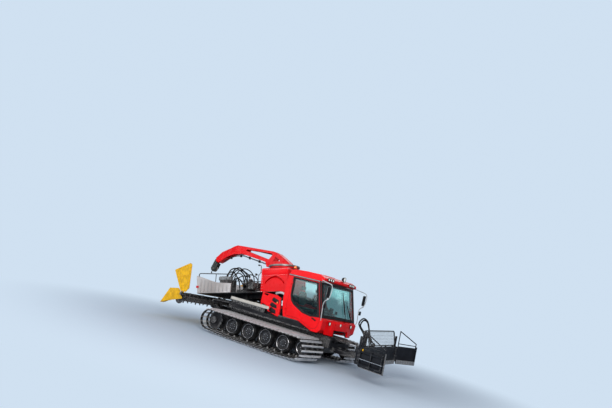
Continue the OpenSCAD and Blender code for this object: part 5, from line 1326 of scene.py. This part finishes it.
@drawn("pole", black_powder, "bed", place=on_bed, stands_for=("lamp_pole",))
def pole(shape):
    """Lamp pole behind the tower: smooth tubes through the CAD route, and the cases of its two lamps."""
    post = [(0.56, 0.282), (0.6, 0.96), (0.7, 1.06), (0.69, 1.32), (0.6, 1.34)]
    shape.tube(fillet(at_y(POLE_Y, post), 0.05, 6), 0.0135, 10)
    shape.tube(at_y(POLE_Y, [(0.6, 0.96), (0.48, 0.99)]), 0.0115, 8)
    shape.tube(at_y(POLE_Y, [(0.7, 1.06), (0.774, 1.06)]), 0.0115, 8)
    shape.case((0.562, POLE_Y - 0.038, 1.312), (0.6, POLE_Y + 0.038, 1.368), 0.008, 0.015, axis="x")
    shape.case((0.445, POLE_Y - 0.038, 0.952), (0.5, POLE_Y + 0.038, 1.028), 0.008, 0.015, axis="x")


@drawn("pole_lenses", lamp_glass, "bed", place=on_bed)
def pole_lenses(shape):
    """Faces of the two small lamps: thin rounded plates on the cases' rear sides."""
    shape.case((0.556, -0.58, 1.32), (0.566, -0.52, 1.36), 0.003, 0.01, axis="x")
    shape.case((0.438, -0.58, 0.962), (0.448, -0.52, 1.018), 0.003, 0.01, axis="x")


# Blade

HEAD_Z = 0.72
BLADE_ROLL = math.radians(3.5)
BLADE_X = 3.59
BOLT_X = BLADE_X + 0.0133
WING_PIN = np.array([3.55, -1.35, 0.0])
WING_REST = {"right": 84.0, "left": 25.0}
MOULD_Z = 0.78
MOULD_HALF = 0.28
MOULD_RADIUS = 0.9
MOULD_T = 0.026


def on_blade(p):
    """Points drawn on the level blade: rolled about X through the middle of its head."""
    c, s = math.cos(BLADE_ROLL), math.sin(BLADE_ROLL)
    y, z = p[:, 1], p[:, 2] - HEAD_Z
    return np.column_stack([p[:, 0], y * c - z * s, HEAD_Z + y * s + z * c])


def on_wing(side, rest):
    """Points drawn on the right wing in line with the blade: turned about its pin by the rest angle,
    mirrored for the left wing, then rolled with the blade."""
    c, s = math.cos(math.radians(rest)), math.sin(math.radians(rest))

    def place(p):
        q = p - WING_PIN
        turned = np.column_stack([q[:, 0] * c - q[:, 1] * s, q[:, 0] * s + q[:, 1] * c, q[:, 2]]) + WING_PIN
        return on_blade(turned * [1, side, 1])

    return place


def edge_bolts(y0, y1, count):
    """Places of two rows of plough bolts along a cutting edge."""
    return [(BOLT_X, y, z) for z in (0.51, 0.565) for y in np.linspace(y0, y1, count)]


def cutting_edge(y0, y1):
    """Draws a worn cutting edge: a bar along the blade's foot with a bevelled lower rim."""
    outline = [(3.576, 0.468), (3.588, 0.466), (3.603, 0.48), (3.603, 0.604), (3.577, 0.604)]
    return lambda shape: shape.slab(outline, y0, y1, 0.003)


@drawn("blade_gear", blade_powder, "blade", 30, on_blade)
def blade_gear(shape):
    """Ribs against the mouldboard's curved back, clamps of the mesh guard's feet, and two bars across."""
    z = np.linspace(0.66, 0.9, 9)
    centre = BLADE_X + MOULD_RADIUS * math.cos(math.asin(MOULD_HALF / MOULD_RADIUS))
    back = centre - np.sqrt((MOULD_RADIUS + MOULD_T) ** 2 - (z - MOULD_Z) ** 2)
    rib = np.vstack([np.column_stack([back - 0.003, z]), [(3.44, 0.86), (3.44, 0.7)]])
    for y in (-1.05, -0.58, 0.58, 1.05):
        shape.slab(rib, y - 0.008, y + 0.008, 0.002)
    for y in (-1.1, -0.55, 0.55, 1.1):
        shape.case((3.495, y - 0.032, 1.03), (3.545, y + 0.032, 1.068), 0.005)
    for z in (0.6, 0.98):
        shape.tube([(3.405, -1.24, z), (3.405, 1.24, z)], 0.012, 8)


drawn("blade_edge", worn_steel, "blade", 30, on_blade)(cutting_edge(-1.303, 1.303))
studs = Shape(on_blade).bolts(edge_bolts(-1.26, 1.26, 18), (1, 0, 0), 0.014, 0.007)
piece("blade_bolts", studs, bright_steel, "blade", 25)

for side, name in ((1, "right"), (-1, "left")):
    place = on_wing(side, WING_REST[name])
    body = "blade_wing_" + name
    drawn("wing_edge_" + name, worn_steel, body, 30, place)(cutting_edge(-2.279, -1.413))
    ledge = Shape(place).slab(rectangle(3.462, 3.532, 0.745, 0.757), -2.26, -1.44, 0.003)
    piece("wing_ledge_" + name, ledge, bright_steel, body, 30)
    studs = Shape(place).bolts(edge_bolts(-2.24, -1.45, 8), (1, 0, 0), 0.013, 0.007)
    studs.bolts(at_y(-2.2805, [(3.5635, z) for z in np.linspace(0.56, 1.02, 6)]), (0, -1, 0), 0.013, 0.007)
    piece("wing_bolts_" + name, studs, bright_steel, body, 25)
    plate = [(3.525, 0.505), (3.595, 0.505), (3.595, 1.105), (3.535, 1.105)]
    piece("wing_end_" + name, Shape(place).slab(plate, -2.285, -2.2795, 0.002, 0.01), worn_steel, body, 30)

mark = Shape(on_wing(1, WING_REST["right"])).slab(rectangle(3.532, 3.54, 0.93, 1.05), -1.5, -1.46, 0.002)
piece("wing_mark", mark, ochre, "blade_wing_right", 30)


@drawn("guard_frame", black_powder, "blade", place=on_blade, stands_for=("blade_guard",))
def guard_tubes(shape):
    """Mesh guard: a frame tube through the CAD corners with soft bends, crossed wires, and feet."""
    p0, p1 = np.array([3.53, -1.24, 1.09]), np.array([3.53, 1.24, 1.09])
    q0, q1 = np.array([3.48, -1.11, 1.56]), np.array([3.48, 1.11, 1.56])
    shape.tube(fillet([p0, q0, q1, p1], 0.09, 7, closed=True), 0.0195, 12, closed=True)
    for t in np.arange(1, 30) / 30:
        shape.tube([p0 + (p1 - p0) * t, q0 + (q1 - q0) * t], 0.0035, 6)
    for t in np.linspace(0.1, 0.9, 9):
        shape.tube([p0 + (q0 - p0) * t, p1 + (q1 - p1) * t], 0.0035, 6)
    for y in (-1.1, -0.55, 0.55, 1.1):
        shape.case((3.502, y - 0.014, 1.02), (3.539, y + 0.014, 1.09), 0.004)


FRONT_HOSES = [
    [(2.99, -0.085, 1.24), (2.9, -0.1, 1.36), (2.7, -0.12, 1.6), (2.8, -0.1, 1.8), (2.96, -0.08, 1.76),
     (3.06, -0.07, 1.58), (3.1, -0.06, 1.36), (3.16, -0.08, 1.2), (3.24, -0.1, 0.98), (3.3, -0.1, 0.8)],
    [(2.99, 0.085, 1.24), (2.88, 0.1, 1.34), (2.66, 0.1, 1.54), (2.74, 0.08, 1.74), (2.9, 0.06, 1.72),
     (3.0, 0.05, 1.56), (3.07, 0.05, 1.4), (3.14, 0.08, 1.18), (3.22, 0.1, 0.98), (3.3, 0.1, 0.8)],
]
for n, route in enumerate(FRONT_HOSES):
    hose("front_hose%d" % (n + 1), np.array(route), 0.024, "blade_lift_frame")


@drawn("lift_details", black_powder, "blade_lift_frame", 30, both=True)
def lift_details(shape):
    """Pin caps, gussets and steps of the lift frame, from bodies of revolution and rounded slabs."""
    for x, y, z, r in ((2.16, -0.518, 0.56, 0.05), (2.98, -0.082, 1.37, 0.032), (3.32, -0.198, 0.72, 0.04)):
        shape.lathe([(0, -0.006), (r * 0.75, -0.006), (r, 0), (r, 0.012), (0, 0.012)], (x, y, z), "y", 20)
    gusset = [(2.3, 0.6), (2.62, 0.555), (2.86, 0.6), (2.84, 0.655), (2.6, 0.62), (2.34, 0.64)]
    shape.slab(gusset, -0.438, -0.43, 0.003, 0.01)
    for z in (0.95, 1.05, 1.15):
        shape.case((2.955, -0.098, z), (3.02, -0.074, z + 0.03), 0.005)


def ram_collars(a, b, y):
    """Draws the gland nuts and ports of a pair of cylinders: collars of revolution square to each barrel."""
    a, b = np.array(a), np.array(b)
    way = (b - a) / np.linalg.norm(b - a)

    def draw(shape):
        for part, r0, r1 in ((0.585, 0.047, 0.052), (0.2, 0.047, 0.05)):
            middle = a + (b - a) * part
            route = [middle + way * reach for reach in (-0.03, -0.027, 0.027, 0.03)]
            for side in (-y, y):
                shape.tube(at_y(side, route), [r0, r1, r1, r0], 20)

    return draw


collars = ram_collars((2.118, 0.905), (2.92, 0.88), 0.29)
drawn("lift_collars", dark_casting, "blade_lift_barrel", 30)(collars)
collars = ram_collars((-2.448, 0.9), (-3.3, 0.9), 0.25)
drawn("tiller_collars", dark_casting, "tiller_lift_barrel", 30)(collars)


# Tiller

ROTOR = (-3.85, 0.85)
COMB_PIN = (-4.069, 0.9212)
TOOTH = 0.2222
FINISHER_Y = 2.125
FINISHER_Z = 1.105
FINISHER_LEAN = math.radians(32)


@drawn("hood_ribs", black_powder, "tiller", 30, both=True)
def hood_ribs(shape):
    """Ribs on the hood: the hood's arc carried as a narrow raised band at even spaces along the tiller."""
    a = np.radians(np.linspace(-6, 196, 33))[:, None]
    r = np.array([0.208, 0.222, 0.222, 0.208])
    for y in np.linspace(-1.95, -0.12, 9):
        across = np.broadcast_to(y + np.array([-0.016, -0.013, 0.013, 0.016]), (33, 4))
        g = np.stack([ROTOR[0] + r * np.cos(a), across, ROTOR[1] + r * np.sin(a)], -1)
        shape.grid(g, around=True, caps=True)


@drawn("hood_parts", black_powder, "tiller", 30)
def hood_parts(shape):
    """Bearing caps, hinge rods with their clamps, rear flaps and the middle clamp of the tiller."""
    cap = [(0, -0.012), (0.05, -0.012), (0.066, -0.006), (0.07, 0), (0.07, 0.01), (0, 0.01)]
    for y in (-2.047, -0.033):
        shape.lathe(cap, (ROTOR[0], y, ROTOR[1]), "y", 28)
    shape.tube([(-3.7, -1.98, 1.075), (-3.7, -0.1, 1.075)], 0.016, 10)
    for y in (-1.7, -1.0, -0.3):
        shape.case((-3.73, y - 0.02, 1.01), (-3.67, y + 0.02, 1.1), 0.006)
    shape.slab([(-3.655, 0.8), (-3.598, 0.8), (-3.598, 0.92), (-3.655, 0.96)], -1.9, -0.3, 0.006, 0.01)
    shape.mirrored()
    shape.case((-3.8, -0.03, 1.03), (-3.62, 0.03, 1.12), 0.01, 0.02)


def comb_ribs(shape):
    """Ochre ribs of the comb: three bars on each panel, following the panel's own angle below its tube."""
    for i in range(9):
        angle = math.radians(4 + 25 * (i / 8) ** 2)
        c, s = math.cos(angle), math.sin(angle)
        for j in range(3):
            y = -0.04 - (i + 1) * TOOTH + TOOTH * (j + 0.5) / 3
            down = (-0.06, -0.4, -0.79)
            bar = [(COMB_PIN[0] + u * c + 0.016 * s, COMB_PIN[1] + u * s + 0.016 * c) for u in down]
            shape.tube(at_y(y, bar), 0.008, 6)


def finisher_ribs(shape):
    """Stiffening rolls and a rim on both faces of the upright side plate."""
    for face in (-1, 1):
        y = -FINISHER_Y + face * 0.013
        rolls = ([(-3.45, 1.25), (-3.62, 2.05)], [(-3.7, 1.2), (-4.25, 1.86)], [(-3.55, 1.75), (-4.1, 1.6)])
        for route in rolls:
            shape.tube(at_y(y, route), 0.012, 8)
        rim = [(-3.43, 1.32), (-3.6, 2.1), (-3.69, 2.135), (-4.3, 1.8)]
        shape.tube(fillet(at_y(y, rim), 0.05, 5), 0.008, 8)


def far_finisher(p):
    """Points drawn on the upright right side plate, brought to the left one, which leans in."""
    c, s = math.cos(FINISHER_LEAN), math.sin(FINISHER_LEAN)
    y, z = p[:, 1] + FINISHER_Y, p[:, 2] - FINISHER_Z
    return np.column_stack([p[:, 0], FINISHER_Y - y * c - z * s, -y * s + z * c + FINISHER_Z])


drawn("finisher_ribs_right", ochre, "side_finisher_right")(finisher_ribs)
drawn("finisher_ribs_left", ochre, "side_finisher_left", place=far_finisher)(finisher_ribs)
drawn("comb_ribs_right", ochre, "comb_right")(comb_ribs)
drawn("comb_ribs_left", ochre, "comb_left", place=lambda p: p * [1, -1, 1])(comb_ribs)


# Stage

BACKDROP = (0.63, 0.75, 0.88, 1)


def stage_floor():
    """Round floor, pale and slightly cool. Far out it turns to the backdrop's colour for the camera alone."""
    a = round_angles(96)
    r = np.array([0.0, 6, 10, 16, 30, 80, 400])[:, None]
    shape = Shape().grid(np.stack([r * np.cos(a), r * np.sin(a), 0 * r * a], -1), around=True)
    mesh = bpy.data.meshes.new("floor")
    mesh.from_pydata(np.vstack(shape.points).tolist(), [], shape.faces)
    p = Paint("floor_paint", None)
    far = p.node("ShaderNodeVectorMath", {"operation": "LENGTH"}, {0: p.place}, "Value").step(4.5, 11.0)
    seen = p.node("ShaderNodeLightPath", out="Is Camera Ray")
    p.finish(Base_Color=(0.57, 0.66, 0.77, 1), Roughness=0.9)
    glow = p.node("ShaderNodeEmission", None, {"Color": BACKDROP, "Strength": 1.0})
    blend = p.node("ShaderNodeMixShader", None, {0: far * seen, 1: Wire(p, p.shader.outputs[0]), 2: glow})
    p.feed(p.tree.nodes["Material Output"].inputs["Surface"], blend)
    mesh.materials.append(p.material)
    floor = bpy.data.objects.new("floor", mesh)
    bpy.context.scene.collection.objects.link(floor)


def studio():
    """World that lights the part softly. Camera rays, also through glass, see the backdrop's colour."""
    world = bpy.data.worlds.new("studio")
    bpy.context.scene.world = world
    world.use_nodes = True
    nodes, links = world.node_tree.nodes, world.node_tree.links
    nodes.clear()
    path = nodes.new("ShaderNodeLightPath")
    through = nodes.new("ShaderNodeMath")
    through.operation = "MAXIMUM"
    choose = nodes.new("ShaderNodeMixShader")
    links.new(path.outputs["Is Camera Ray"], through.inputs[0])
    links.new(path.outputs["Is Transmission Ray"], through.inputs[1])
    links.new(through.outputs[0], choose.inputs[0])
    for socket, colour, strength in ((1, (0.82, 0.89, 1.0, 1), 0.36), (2, BACKDROP, 1.0)):
        sky = nodes.new("ShaderNodeBackground")
        sky.inputs["Color"].default_value = colour
        sky.inputs["Strength"].default_value = strength
        links.new(sky.outputs[0], choose.inputs[socket])
    links.new(choose.outputs[0], nodes.new("ShaderNodeOutputWorld").inputs["Surface"])


def soft_box(name, place, power, colour):
    """A square area lamp of 9 m that faces the middle of the machine."""
    lamp = bpy.data.lights.new(name, "AREA")
    lamp.shape = "SQUARE"
    lamp.size = 9
    lamp.energy = power
    lamp.color = colour
    made = bpy.data.objects.new(name, lamp)
    made.location = place
    made.rotation_euler = (Vector((0, 0, 1.2)) - Vector(place)).to_track_quat("-Z", "Y").to_euler()
    bpy.context.scene.collection.objects.link(made)


stage_floor()
studio()
soft_box("key", (9, -15, 8), 2050, (1.0, 0.98, 0.95))
soft_box("fill", (-9, -13, 6), 720, (0.92, 0.96, 1.0))
soft_box("back", (-4, 12, 11), 430, (0.95, 0.98, 1.0))

view = bpy.data.cameras.new("camera")
view.lens = 31.76
view.sensor_width = 36
view.clip_end = 1000
camera = bpy.data.objects.new("camera", view)
bpy.context.scene.collection.objects.link(camera)
right, up = Vector((0.811, 0.5343, 0.2384)), Vector((-0.1126, -0.2572, 0.9598))
ahead = Vector((-0.5741, 0.8052, 0.1484))
turn = Matrix((right.normalized(), up.normalized(), -ahead.normalized())).transposed().to_4x4()
camera.matrix_world = Matrix.Translation((11.442, -16.7, 2.35)) @ turn
bpy.context.scene.camera = camera
bpy.context.scene.view_settings.view_transform = "Standard"
